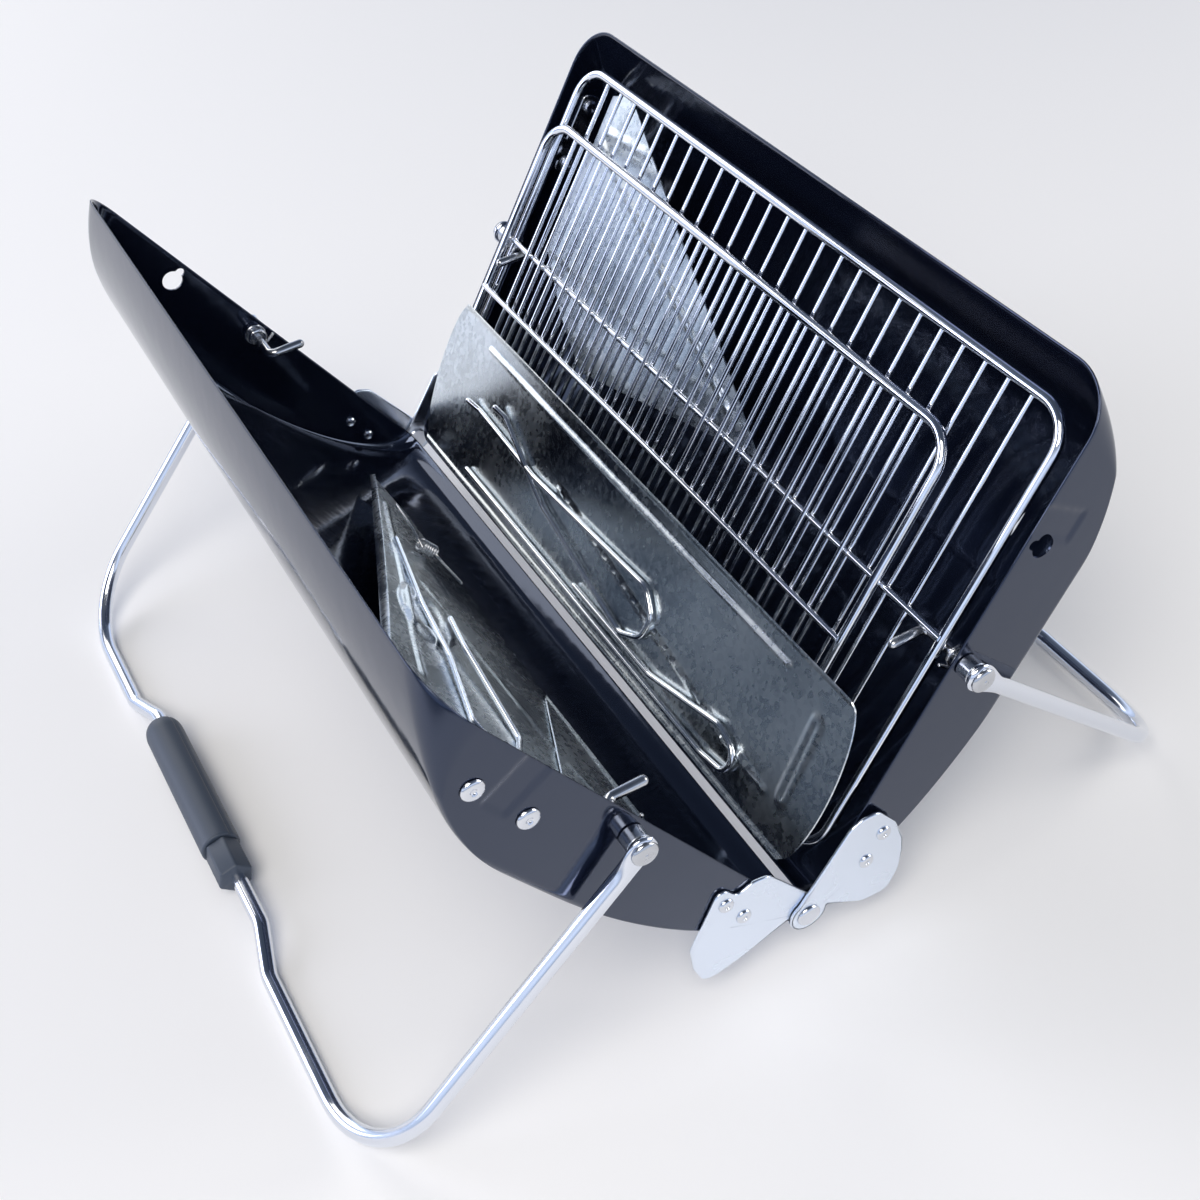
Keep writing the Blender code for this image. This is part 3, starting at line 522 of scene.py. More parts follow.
def galvanised_finish(dark, light, spangle):
    """Hot-dip galvanised sheet: zinc crystals a few millimetres across, each with its own tone and gloss."""
    material, shader = finish("galvanised_sheet", light, 0.3, 1.0)
    where = place_of(material)
    warp = node(material, "ShaderNodeTexNoise", {"Vector": where, "Scale": 0.6 / spangle, "Detail": 2.0})
    inputs = {0: warp.outputs["Color"], 1: (spangle,) * 3}
    bent = node(material, "ShaderNodeVectorMath", inputs, operation="MULTIPLY")
    moved = node(material, "ShaderNodeVectorMath", {0: where, 1: bent.outputs[0]}, operation="ADD")
    cells = node(material, "ShaderNodeTexVoronoi", {"Vector": moved.outputs[0], "Scale": 1 / spangle})
    tone = node(material, "ShaderNodeSeparateColor", {"Color": cells.outputs["Color"]})
    inputs = {"Vector": where, "Scale": 14.0, "Detail": 3.0, "Roughness": 0.5}
    broad = node(material, "ShaderNodeTexNoise", inputs)
    inputs = {0: tone.outputs[0], 1: 0.22, 2: broad.outputs["Fac"]}
    mixed = node(material, "ShaderNodeMath", inputs, operation="MULTIPLY_ADD")
    share = mapped(material, mixed.outputs[0], 0.42, 0.78, 0.0, 1.0)
    blend = node(material, "ShaderNodeMix", {0: share, 6: linear(dark), 7: linear(light)}, data_type="RGBA")
    links = material.node_tree.links
    links.new(blend.outputs[2], shader.inputs["Base Color"])
    links.new(mapped(material, share, 0.0, 1.0, 0.17, 0.33), shader.inputs["Roughness"])
    return material


def grip_finish(colour):
    """Moulded phenolic plastic: slate grey, with a fine grain that dulls the highlights."""
    material, shader = finish("grip_plastic", colour, 0.5, 0.0, 1.55)
    inputs = {"Vector": place_of(material), "Scale": 1500.0, "Detail": 2.0}
    grain = node(material, "ShaderNodeTexNoise", inputs)
    bump(material, shader, grain.outputs["Fac"], 0.00005)
    return material


MATERIALS = {}

# Colour, lowest and highest roughness, and how fine their drift is
PLATED = {
    "chrome_grid": ("E4E8F0", 0.06, 0.16, 60.0),
    "chrome_rod": ("E2E6EE", 0.08, 0.20, 40.0),
    "chrome_tool": ("ECF0F6", 0.12, 0.22, 80.0),
    "nickel_rivet": ("DDE0E6", 0.10, 0.20, 200.0),
    "zinc_plate": ("E6EEFA", 0.20, 0.32, 30.0),
    "zinc_fastener": ("C9CED6", 0.18, 0.32, 200.0),
    "steel_pin": ("C8CACE", 0.14, 0.30, 150.0),
}


def make_materials(looks):
    """All the finishes, kept by their slots' names."""
    for name, values in PLATED.items():
        MATERIALS[name] = plated_finish(name, *values)
    MATERIALS["black_enamel"] = enamel_finish(looks.enamel)
    MATERIALS["galvanised_sheet"] = galvanised_finish(looks.zinc_dark, looks.zinc_light, looks.spangle)
    MATERIALS["grip_plastic"] = grip_finish(looks.grip)


# Shells


def bowl_rings(depth, inset, end_columns=150, long_columns=70, corner_columns=13):
    """Rings of a half shell, one for each depth and inset from the outer skin.
    The long sides follow two superellipses down to the deepest line; each ring is a rectangle whose outer
    corners are large at the rim and fade to the fold's radius; each end is flat but for a channel."""
    depth, inset = depth[:, None], inset[:, None]
    full = SHELL_DEPTH - inset
    share = np.clip(depth / full, 0, 0.9999)
    low = DEEPEST_AT - (DEEPEST_AT - LIP_OFFSET - inset) * (1 - share**2) ** (1 / 2.2)
    high = DEEPEST_AT + (SHELL_WIDTH - 1.35 * inset - DEEPEST_AT) * (1 - share) ** (1 / 2.7)
    sunk = np.clip((depth - (full - FOLD_RADIUS)) / FOLD_RADIUS, 0, 1)
    half = HALF_LENGTH - inset - FOLD_RADIUS * (1 - np.sqrt(1 - sunk**2)) * 0.9
    fade = np.clip(1 - depth / CORNER_FADE_DEPTH, 0, 1)
    widest = (high - low) * 0.45
    outer = np.minimum(FOLD_RADIUS + (RIM_CORNER - FOLD_RADIUS) * fade - inset, widest)
    inner = np.minimum(LIP_CORNER - inset, widest)
    turn = np.linspace(0, math.pi / 2, corner_columns)[None, :]
    middles = (
        (high - outer, half - outer, outer, 0.0),
        (low + inner, half - inner, inner, math.pi / 2),
        (low + inner, inner - half, inner, math.pi),
        (high - outer, outer - half, outer, 1.5 * math.pi),
    )
    arcs = [
        np.stack([x + radius * np.cos(turn + start), y + radius * np.sin(turn + start)], axis=-1)
        for x, y, radius, start in middles
    ]
    runs = []
    for index, columns in enumerate((end_columns, long_columns, end_columns, long_columns)):
        along = np.linspace(0, 1, columns + 2)[None, 1:-1, None]
        before, after = arcs[index][:, -1:], arcs[(index + 1) % 4][:, :1]
        runs += [arcs[index], before + (after - before) * along]
    flat = np.concatenate(runs, axis=1)
    x, y = flat[..., 0], flat[..., 1]
    start, stop = CHANNEL
    rise = smooth_step(x, start, start + CHANNEL_BEND) * (1 - smooth_step(x, stop - CHANNEL_BEND, stop))
    fall = 1 - smooth_step(depth, CHANNEL_DEPTH - 0.0022, CHANNEL_DEPTH)
    at_end = smooth_step(np.abs(y), half - 0.0012, half - 0.0002)
    y = y - np.sign(y) * rise * fall * at_end * CHANNEL_SINK * (inset < 0.0003)
    return np.stack([x, y, np.broadcast_to(-depth, x.shape)], axis=-1)


def build_shell(side, sheet):
    """One half shell as a single closed skin: up the outside, over the rolled rim and down the inside."""
    share = np.sin(np.linspace(0, math.pi / 2, 62))
    share = share[share > 0.035]
    roll = np.linspace(0, math.pi, 9)
    rim = RIM_GAP + sheet / 2 * (1 - np.sin(roll))
    outside, inside = share[::-1] * SHELL_DEPTH, share * (SHELL_DEPTH - sheet)
    depth = np.concatenate([outside, rim, inside])
    inset = np.concatenate([outside * 0, sheet / 2 * (1 - np.cos(roll)), inside * 0 + sheet])
    rings = bowl_rings(depth, inset)
    shape = Shape()
    shape.skin(rings)
    obj = shape.piece(f"{side}_shell", half_frame(side), "black_enamel", f"{side}_half", SHELL_CREASE,
                      f"{side}_shell_skin")
    cutter = vent_cutter(side)
    cut = obj.modifiers.new("vent", "BOOLEAN")
    cut.object = cutter
    cut.solver = "EXACT"
    apply_modifiers(obj)
    bpy.data.objects.remove(cutter)
    smooth(obj.data, SHELL_CREASE)


def apply_modifiers(obj):
    """The piece's mesh as its modifiers leave it, with no modifier left."""
    graph = bpy.context.evaluated_depsgraph_get()
    mesh = bpy.data.meshes.new_from_object(obj.evaluated_get(graph))
    obj.modifiers.clear()
    obj.data = mesh


def vent_cutter(side):
    """A bar through the -Y end, for the latch's vent: a round hole with a narrower slot towards the rim."""
    turn = np.linspace(0, math.tau, 40, endpoint=False)
    upward = turn - math.pi / 2
    radius = VENT_RADIUS * np.where(np.abs(upward) < 0.42, 1.0 + 0.55 * np.cos(upward * 3), 1.0)
    across, up = VENT_AT[0] + radius * np.cos(turn), -VENT_AT[1] + radius * np.sin(turn)
    ends = [np.full(len(turn), -HALF_LENGTH + reach) for reach in (-VENT_CUT, VENT_CUT)]
    shape = Shape()
    shape.skin(np.stack([np.stack([across, end, up], axis=1) for end in ends]))
    return linked("vent", shape.mesh("vent", half_frame(side)))


# Hinges, rivets and latches


def arc_points(radius, start, stop, steps):
    """Points on an arc round the hinge, in degrees."""
    turn = np.radians(np.linspace(start, stop, steps))
    return np.stack([np.cos(turn), np.sin(turn)], axis=1) * radius


def plate_outline(kind):
    """A hinge plate's outline, a lobe and an ear at the pivot, as (distance, height over the rim)."""
    if kind == "inner":
        corners = [(0.0117, -0.033), (0.0165, -0.047), (0.021, -0.052), (0.033, -0.049), (0.0457, -0.042),
                   (0.0647, -0.010), (0.0516, -0.009), (0.0504, -0.005), (0.0498, -0.0005), (0.044, 0.006)]
    else:
        corners = [(0.0060, -0.031), (0.0086, -0.037), (0.013, -0.044), (0.026, -0.0425), (0.038, -0.037),
                   (0.045, -0.032), (0.054, -0.021), (0.060, -0.006), (0.056, 0.0015), (0.050, 0.0055)]
    corners = np.concatenate([corners, arc_points(EAR_RADIUS, 60, 310, 14)])
    solid = np.stack([corners[:, 0], corners[:, 1] * 0, corners[:, 1]], axis=1)
    return even_loop(rounded(solid, PLATE_CORNER, 6, closed=True), PLATE_STEP)


def plate_level(level):
    """How far out a hinge plate's middle lies: level 0 is next to the shell, level 1 outside that."""
    return HALF_LENGTH + GAP + PLATE_THICKNESS / 2 + level * (PLATE_THICKNESS + GAP)


def build_plate(side, end, kind, level):
    """A flat hinge plate with rounded edges: rings of its outline, shrunk towards the spine."""
    outline = plate_outline(kind)
    # Each ring shrinks towards the nearest point of a spine from the pivot into the lobe.
    along = np.clip(outline @ PLATE_SPINE / (PLATE_SPINE @ PLATE_SPINE), 0, 1)
    middle = along[:, None] * PLATE_SPINE
    reach = np.linalg.norm(outline - middle, axis=1)[:, None]
    half = PLATE_THICKNESS / 2
    turn = np.linspace(0, math.pi, 7)
    edge_in, edge_out = half * (1 - np.sin(turn)), half * np.cos(turn)
    shares = np.linspace(0.05, 0.95, 7)
    rows = [(share, 0.0, half) for share in shares]
    rows += [(1.0, inward, out) for inward, out in zip(edge_in, edge_out)]
    rows += [(share, 0.0, -half) for share in shares[::-1]]
    rings = []
    for share, inward, out in rows:
        ring = middle + (outline - middle) * share * (1 - inward / reach)
        ring[:, 1] = end * (plate_level(level) + out)
        rings.append(ring)
    shape = Shape()
    shape.skin(np.array(rings))
    name = f"{side}_{ENDS[side][end]}_hinge_plate"
    shape.piece(name, half_frame(side), "zinc_plate", f"{side}_half")


def head_profile(radius, height, dimple):
    """A domed rivet head with a round dimple in its middle, from the centre out, as (radius, height)."""
    turn = np.linspace(0, math.pi / 2, 8)
    inner = [(radius * 0.02, height * 0.45), (radius * 0.22, height * 0.5), (radius * 0.34, height * 0.93)]
    if not dimple:
        inner = [(radius * 0.02, height), (radius * 0.3, height * 0.98)]
    dome = [(radius * (0.45 + 0.55 * math.sin(a)), height * (0.05 + 0.95 * math.cos(a))) for a in turn]
    return inner + dome


def build_rivet(side, end, spot, level, name, radius=RIVET_HEAD, height=RIVET_HEIGHT, lining=0.0):
    """A rivet: a dimpled head outside, the shank, and a smaller rolled tail inside the shell."""
    top = HALF_LENGTH + GAP if level < 0 else plate_level(level) + PLATE_THICKNESS / 2
    profile = [(r, top + h) for r, h in head_profile(radius, height, True)]
    shank = radius * 0.55
    profile += [(radius * 0.98, top), (shank, top - 0.0002)]
    inner = INNER_END - lining - GAP
    if level == 1:
        under = plate_level(1) - PLATE_THICKNESS / 2
        profile += [(shank, under), (radius, under)]
        profile += [(radius, HALF_LENGTH + GAP), (shank, HALF_LENGTH + GAP)]
    profile += [(shank, inner), (radius * 0.8, inner), (radius * 0.78, inner - 0.0008)]
    rolled = ((0.55, 0.0014), (0.3, 0.0009), (0.02, 0.0008))
    profile += [(radius * wide, inner - down) for wide, down in rolled]
    shape = Shape()
    shape.turn(profile, (spot[0], 0, -spot[1]), (0, end, 0))
    shape.piece(name, half_frame(side), "nickel_rivet", f"{side}_half")


def build_hinge_pin(end):
    """The hinge's pivot: a broad domed head outside both plates and a flat one inside the inner plate."""
    top = plate_level(1) + PLATE_THICKNESS / 2 + 0.0001
    bottom = plate_level(0) - PLATE_THICKNESS / 2 - 0.0001
    profile = [(r, top + h) for r, h in head_profile(PIVOT_HEAD * 0.66, 0.0019, False)]
    profile += [(PIVOT_HEAD * 0.64, top), (PIVOT_RADIUS, top - 0.0001), (PIVOT_RADIUS, bottom)]
    tail = ((2, 0), (1.9, 0.0014), (0.1, 0.0018))
    profile += [(PIVOT_RADIUS * wide, bottom - down) for wide, down in tail]
    shape = Shape()
    shape.turn(profile, (0, 0, 0), (0, end, 0))
    shape.piece(f"{ENDS['right'][end]}_hinge_pin", half_frame("right"), "nickel_rivet", "right_half")


def build_latch(side):
    """The latch strip inside the +Y end: a foot under two rivets and a dimpled tab up to the rim."""
    (outer_at, deep), (inner_at, _) = LATCH_SPOTS
    low, high = -deep - LATCH_MARGIN, -deep + LATCH_MARGIN
    foot_x = np.linspace(inner_at - LATCH_MARGIN, outer_at + LATCH_MARGIN, 40)
    middle = INNER_END - GAP - LATCH_THICKNESS / 2
    shape = Shape()
    corner = LATCH_CORNER
    lift = np.clip(foot_x - foot_x[0], 0, corner), np.clip(foot_x[-1] - foot_x, 0, corner)
    trim = corner - np.sqrt(np.clip(corner**2 - (corner - np.minimum(*lift)) ** 2, 0, None))
    share = np.linspace(0, 1, 12)[None, :]
    bottom, top = (low + trim)[:, None], (high - trim)[:, None]
    z = bottom + (top - bottom) * share
    x = np.broadcast_to(foot_x[:, None], z.shape)
    shape.slab(np.stack([x, np.full(z.shape, middle), z], axis=-1), LATCH_THICKNESS)
    tall = np.linspace(high - 0.0005, LATCH_REACH, 50)[:, None]
    near_top = np.clip(tall - (LATCH_REACH - corner), 0, corner)
    wide = LATCH_HALF_WIDTH - corner + np.sqrt(np.clip(corner**2 - near_top**2, 0, None))
    x = VENT_AT[0] + wide * np.linspace(-1, 1, 30)[None, :]
    z = np.broadcast_to(tall, x.shape)
    away = np.hypot(x - VENT_AT[0], z + VENT_AT[1])
    dimple = LATCH_DIMPLE * (1 - smooth_step(away, 0.0015, 0.0042))
    shape.slab(np.stack([x, middle + dimple, z], axis=-1), LATCH_THICKNESS)
    shape.piece(f"{side}_latch", half_frame(side), "zinc_fastener", f"{side}_half")


# Legs


def build_leg(side):
    """A wire bail: the rod's path swept round, and flattened into an eye at each end."""
    jogged, foot = LEG_REACH - JOG_DEPTH, EYE_CENTRE - LEG_TAPER
    corners = [(0, -EYE_CENTRE, 0), (LEG_REACH, -foot, 0), (LEG_REACH, JOG_CENTRE - JOG_OUTER, 0),
               (jogged, JOG_CENTRE - JOG_INNER, 0), (jogged, JOG_CENTRE + JOG_INNER, 0),
               (LEG_REACH, JOG_CENTRE + JOG_OUTER, 0), (LEG_REACH, foot, 0), (0, EYE_CENTRE, 0)]
    bend = [0, LEG_BEND, JOG_BEND, JOG_BEND, JOG_BEND, JOG_BEND, LEG_BEND, 0]
    path = rounded(corners, bend, 24)
    path = np.concatenate([path[:1] - (EYE_RADIUS, 0, 0), path, path[-1:] - (EYE_RADIUS, 0, 0)])
    path = even(path, LEG_STEP)
    radius = SIZES.leg_rod / 2
    step = np.linalg.norm(np.diff(path, axis=0), axis=1)
    along = np.concatenate([[0], np.cumsum(step)])
    from_end = np.minimum(along, along[-1] - along)
    eye = np.sqrt(np.clip(EYE_RADIUS**2 - np.clip(EYE_RADIUS - from_end, 0, None) ** 2, 1e-8, None))
    neck = smooth_step(from_end, EYE_RADIUS * 1.1, EYE_RADIUS * 3.2)
    high = eye * (1 - neck) + radius * neck
    wide = EYE_THICKNESS / 2 * (1 - neck) + radius * neck
    wide = np.minimum(wide, eye)
    shape = Shape()
    shape.skin(sweep(path, wide, high, 20, (0, 0, 1)))
    shape.piece(f"{side}_leg", leg_frame(side), "chrome_rod", f"{side}_leg", 60)


def build_leg_fittings(side, end):
    """The pin with its bent tail, the spacer outside the shell, the washer inside it and the spring clip."""
    matrix = half_frame(side) @ turned_about_y(LEG_PIVOT, 0)
    tag, body = f"{side}_{ENDS[side][end]}", f"{side}_half"
    outer = EYE_CENTRE + EYE_THICKNESS / 2
    corner = np.array((0, end * (HALF_LENGTH - PIN_INBOARD[end]), 0))
    tail = np.array((-math.cos(PIN_ANGLE), 0, math.sin(PIN_ANGLE))) * (PIN_TAIL - PIN_RADIUS)
    pin = Shape()
    bent = rounded([(0, end * outer, 0), corner, corner + tail], PIN_BEND, 10)
    pin.rod(bent, PIN_RADIUS, 20, PIN_KEEP)
    head = [(r, outer + h) for r, h in head_profile(PIN_HEAD, 0.0020, False)]
    pin.turn(head + [(PIN_HEAD * 0.96, outer), (PIN_RADIUS, outer)], (0, 0, 0), (0, end, 0))
    pin.piece(f"{tag}_leg_pin", matrix, "steel_pin", body, 45)
    bore = PIN_RADIUS + EASE
    for name, radius, near, far in (
        ("spacer", SPACER_RADIUS, HALF_LENGTH + GAP, EYE_CENTRE - EYE_THICKNESS / 2 - GAP),
        ("washer", WASHER_RADIUS, WASHER_FACE - WASHER_THICKNESS, WASHER_FACE),
    ):
        profile = [(bore, near), (radius - EASE, near), (radius, near + EASE)]
        profile += [(radius, far - EASE), (radius - EASE, far), (bore, far)]
        turned = Shape()
        turned.turn(profile, (0, 0, 0), (0, end, 0))
        turned.piece(f"{tag}_leg_{name}", matrix, "zinc_fastener", body)
    turn = np.radians(np.linspace(-60, 200, 30))
    at = end * (WASHER_FACE - WASHER_THICKNESS - CLIP_SETBACK)
    loop = np.stack([np.cos(turn) * CLIP_RADIUS, np.full(30, at), np.sin(turn) * CLIP_RADIUS], axis=1)
    leg = [(loop[-1][0] - 0.002, at, 0.002), (loop[-1][0] - 0.0012, at, 0.0068)]
    clip = Shape()
    clip.rod(np.concatenate([loop, leg]), SIZES.clip_wire / 2, 8, (0, 1, 0))
    clip.piece(f"{tag}_leg_clip", matrix, "steel_pin", body, 45)


def build_grip():
    """The grip: a sleeve with a rounded end and two screw slots, and a short six-sided insert."""
    matrix = leg_frame("left")
    middle = np.array((LEG_REACH - JOG_DEPTH, 0, GRIP_OFFSET))
    turn = np.linspace(0, math.tau, 96, endpoint=False)[None, :]
    low, high = GRIP_COVER
    lead = np.sin(np.linspace(0, math.pi / 2, 9))[1:]
    nose = low + COVER_NOSE * (1 - np.cos(np.linspace(0.25, math.pi / 2, 10)))
    straight = np.linspace(low + COVER_NOSE + 0.0005, high - COVER_EDGE, 150)
    along = np.concatenate([nose, straight, high - COVER_EDGE + COVER_EDGE * lead])
    radius = SIZES.grip_diameter / 2 * np.ones(len(along))
    start = np.clip((along - low) / COVER_NOSE, 0, 1)
    radius *= 0.55 + 0.45 * np.sqrt(1 - (1 - start) ** 2)
    last = np.clip((along - (high - COVER_EDGE)) / COVER_EDGE, 0, 1)
    radius -= COVER_EDGE * (1 - np.sqrt(1 - last**2))
    radius, along = radius[:, None], along[:, None]
    # Each slot is an oval sunk 2 mm into the sleeve, towards the leg's outer side.
    sink = 0
    for spot in (low + GRIP_SCREW_INSET, high - GRIP_SCREW_INSET):
        around = (np.mod(turn + math.pi, math.tau) - math.pi) * SIZES.grip_diameter / 2
        away = np.hypot((along - spot) / 1.25, around)
        sink = sink + SLOT_DEPTH * (1 - smooth_step(away, 0.0020, 0.0027))
    # A seam runs along the back, where the sleeve is slit to go over the rod.
    from_seam = np.abs(turn - math.pi) * SIZES.grip_diameter / 2
    seam = 0.0008 * (1 - smooth_step(from_seam, 0.0003, 0.0009))
    radius = radius - sink - seam
    level = np.broadcast_to(along, radius.shape)
    rings = np.stack([radius * np.cos(turn), level, radius * np.sin(turn)], axis=-1)
    cover = Shape()
    cover.skin(rings + middle)
    cover.piece("grip_cover", matrix, "grip_plastic", "left_leg", 50)
    low, high = GRIP_INSERT
    ease = INSERT_EASE
    along = np.array([low, low + ease * 0.3, low + ease, high - ease, high - ease * 0.3, high])[:, None]
    shrink = np.array([ease, ease * 0.3, 0, 0, ease * 0.3, ease])[:, None]
    flat = math.cos(math.pi / 6) / np.cos(np.mod(turn + math.pi / 6, math.pi / 3) - math.pi / 6)
    six = SIZES.grip_diameter / 2 * 0.94 * np.minimum(flat, 0.975) - shrink
    rings = np.stack([six * np.cos(turn), np.broadcast_to(along, six.shape), six * np.sin(turn)], axis=-1)
    insert = Shape()
    insert.skin(rings + middle)
    insert.piece("grip_insert", matrix, "grip_plastic", "left_leg", 50)
    for index, spot in enumerate((GRIP_COVER[0] + GRIP_SCREW_INSET, GRIP_COVER[1] - GRIP_SCREW_INSET)):
        seat = SIZES.grip_diameter / 2 - 0.0021
        profile = [(r, seat + h) for r, h in head_profile(SCREW_RADIUS, 0.0008, True)]
        profile.append((SCREW_RADIUS, seat - 0.0005))
        screw = Shape()
        screw.turn(profile, middle + (0, spot, 0), (1, 0, 0), 24)
        screw.piece(f"grip_screw_{index + 1}", matrix, "zinc_fastener", "left_leg")


# Grids


def build_grid(node_name):
    """A wire grid: a round-cornered rod frame, evenly spaced wires across it and one long wire over them."""
    matrix = half_frame("right")
    low, high = local_box(node_name, matrix)
    frame_radius, wire_radius = SIZES.grid_frame / 2, SIZES.grid_wire / 2
    height = (low[2] + high[2]) / 2
    inner_low, inner_high = low[:2] + frame_radius, high[:2] - frame_radius
    shape = Shape()
    outline = even_loop(rectangle(inner_low, inner_high, GRID_CORNER, height), 0.003)
    shape.rod(outline, frame_radius, 16, closed=True)
    length = (high[1] - low[1]) - 4 * frame_radius
    count = max(2, int((length - 2 * GRID_MARGIN) / SIZES.grid_pitch) + 1)
    at = (low[1] + high[1]) / 2 + SIZES.grid_pitch * (np.arange(count) - (count - 1) / 2)
    top = height - wire_radius * 0.3
    starts = np.stack([np.full(count, inner_low[0]), at, np.full(count, top)], axis=1)
    stops = starts.copy()
    stops[:, 0] = inner_high[0]
    shape.rods(starts, stops, wire_radius, 14)
    cross = CROSS_WIRES[node_name]
    over = top + wire_radius * 1.7
    shape.rods([(cross, inner_low[1], over)], [(cross, inner_high[1], over)], wire_radius * 1.35, 14)
    shape.piece(node_name, matrix, "chrome_grid", node_name, 50)


def local_box(node_name, matrix):
    """The low and high corners of a CAD node in a half's own frame."""
    mesh = frame["nodes"][node_name].data
    points = np.empty(len(mesh.vertices) * 3)
    mesh.vertices.foreach_get("co", points)
    points = (points.reshape(-1, 3) - matrix[:3, 3]) @ matrix[:3, :3]
    return points.min(axis=0), points.max(axis=0)


def even_loop(path, spacing):
    """A closed path with points at even spacing."""
    return even(np.concatenate([path, path[:1]]), spacing)[:-1]


# Sheets


def field(across, low, high, columns, height):
    """A sheet's surface over x in across and y from low(x) to high(x), with height a function of x and y."""
    share = np.linspace(0, 1, columns)[None, :]
    x = across[:, None] + 0 * share
    y = low[:, None] + (high - low)[:, None] * share
    return np.stack([x, y, height(x, y)], axis=-1)


def ridge(x, y, start, stop, width):
    """1 along a line between two points, falling to 0 at width from it."""
    start, stop = np.array(start), np.array(stop)
    run = stop - start
    share = np.clip(((x - start[0]) * run[0] + (y - start[1]) * run[1]) / (run @ run), 0, 1)
    away = np.hypot(x - start[0] - share * run[0], y - start[1] - share * run[1])
    return 1 - smooth_step(away, 0, width)


def wave(x, y, seed, size):
    """A gentle unevenness of a thin sheet, as a sum of three plane waves."""
    turn = np.radians(seed * 37.0 + np.array((0, 58, 131)))
    phase = seed * np.array((1.3, 2.1, 0.7))
    rate = math.tau / np.array((0.11, 0.073, 0.16))
    total = 0
    for index in range(3):
        along = x * math.cos(turn[index]) + y * math.sin(turn[index])
        total = total + np.sin(along * rate[index] + phase[index])
    return total * size / 3


def build_leaning_tray():
    """The tray that leans against the grids: elliptic ends, a rolled lip, long beads and a slot bead."""
    matrix, width = tray_frame("right", TRAY_LOWER, TRAY_UPPER)
    far, near = INNER_END - TRAY_FAR_GAP, TRAY_NEAR_GAP - INNER_END
    turn = np.linspace(0, math.pi, 90)
    across = (1 - np.cos(turn)) / 2 * width
    bulge = TRAY_END_BULGE * np.sin(turn)
    low, high = near + TRAY_END_BULGE - bulge, far - TRAY_END_BULGE + bulge

    def height(x, y):
        bend = (0.023, -0.132)
        beads = ridge(x, y, (0.049, 0.049), bend, 0.0022) + ridge(x, y, bend, (0.021, -0.166), 0.0022)
        beads = np.maximum(beads, ridge(x, y, (0.0795, 0.150), (0.0795, -0.150), 0.0020))
        ends = (0.068, -0.178), (0.026, -0.178)
        slot = ridge(x, y, *ends, 0.0060) - ridge(x, y, *ends, 0.0030) * 0.9
        lip = 0.0016 * (1 - smooth_step(x, 0.0002, 0.0035))
        upper = 0.0010 * smooth_step(x, width - 0.003, width)
        return lip + upper + 0.0014 * beads + 0.0018 * slot + wave(x, y, 1, 0.0003) - 0.0004

    shape = Shape()
    shape.slab(field(across, low, high, 420, height), SIZES.tray_sheet)
    shape.piece("leaning_tray", matrix, "galvanised_sheet", "leaning_tray", 50)


def by_lines(corners):
    """A function of x that runs straight between corners (x, y)."""
    table = np.array(corners)
    return lambda x: np.interp(x, table[:, 0], table[:, 1])


def build_rear_sheet():
    """The loose pointed sheet behind the grids, lying in the right shell."""
    matrix = half_frame("right") @ turned_about_y((0, 0, -REAR_SHEET_DEPTH), 0)
    top = INNER_END - REAR_SHEET_END_GAP
    bends = (0.122, 0.140, 0.146, 0.182, 0.206, 0.240)
    across = np.unique(np.concatenate([np.linspace(0.1052, 0.2458, 90), bends]))
    low = by_lines([(0.105, 0.108), (0.140, -0.044), (0.182, 0.037), (0.206, 0.089), (0.246, 0.164)])(across)
    high = by_lines([(0.105, 0.1085), (0.122, 0.144), (0.146, top), (0.240, top), (0.246, 0.1645)])(across)

    def height(x, y):
        fold = ridge(x, y, (0.214, 0.170), (0.148, -0.010), 0.0030)
        press = ridge(x, y, (0.222, 0.170), (0.226, 0.128), 0.0025)
        return 0.0008 * fold + 0.0010 * press + wave(x, y, 2, 0.0006)

    shape = Shape()
    shape.slab(field(across, low, high, 180, height), SIZES.tray_sheet)
    shape.piece("rear_sheet", matrix, "galvanised_sheet", "rear_sheet", 50)


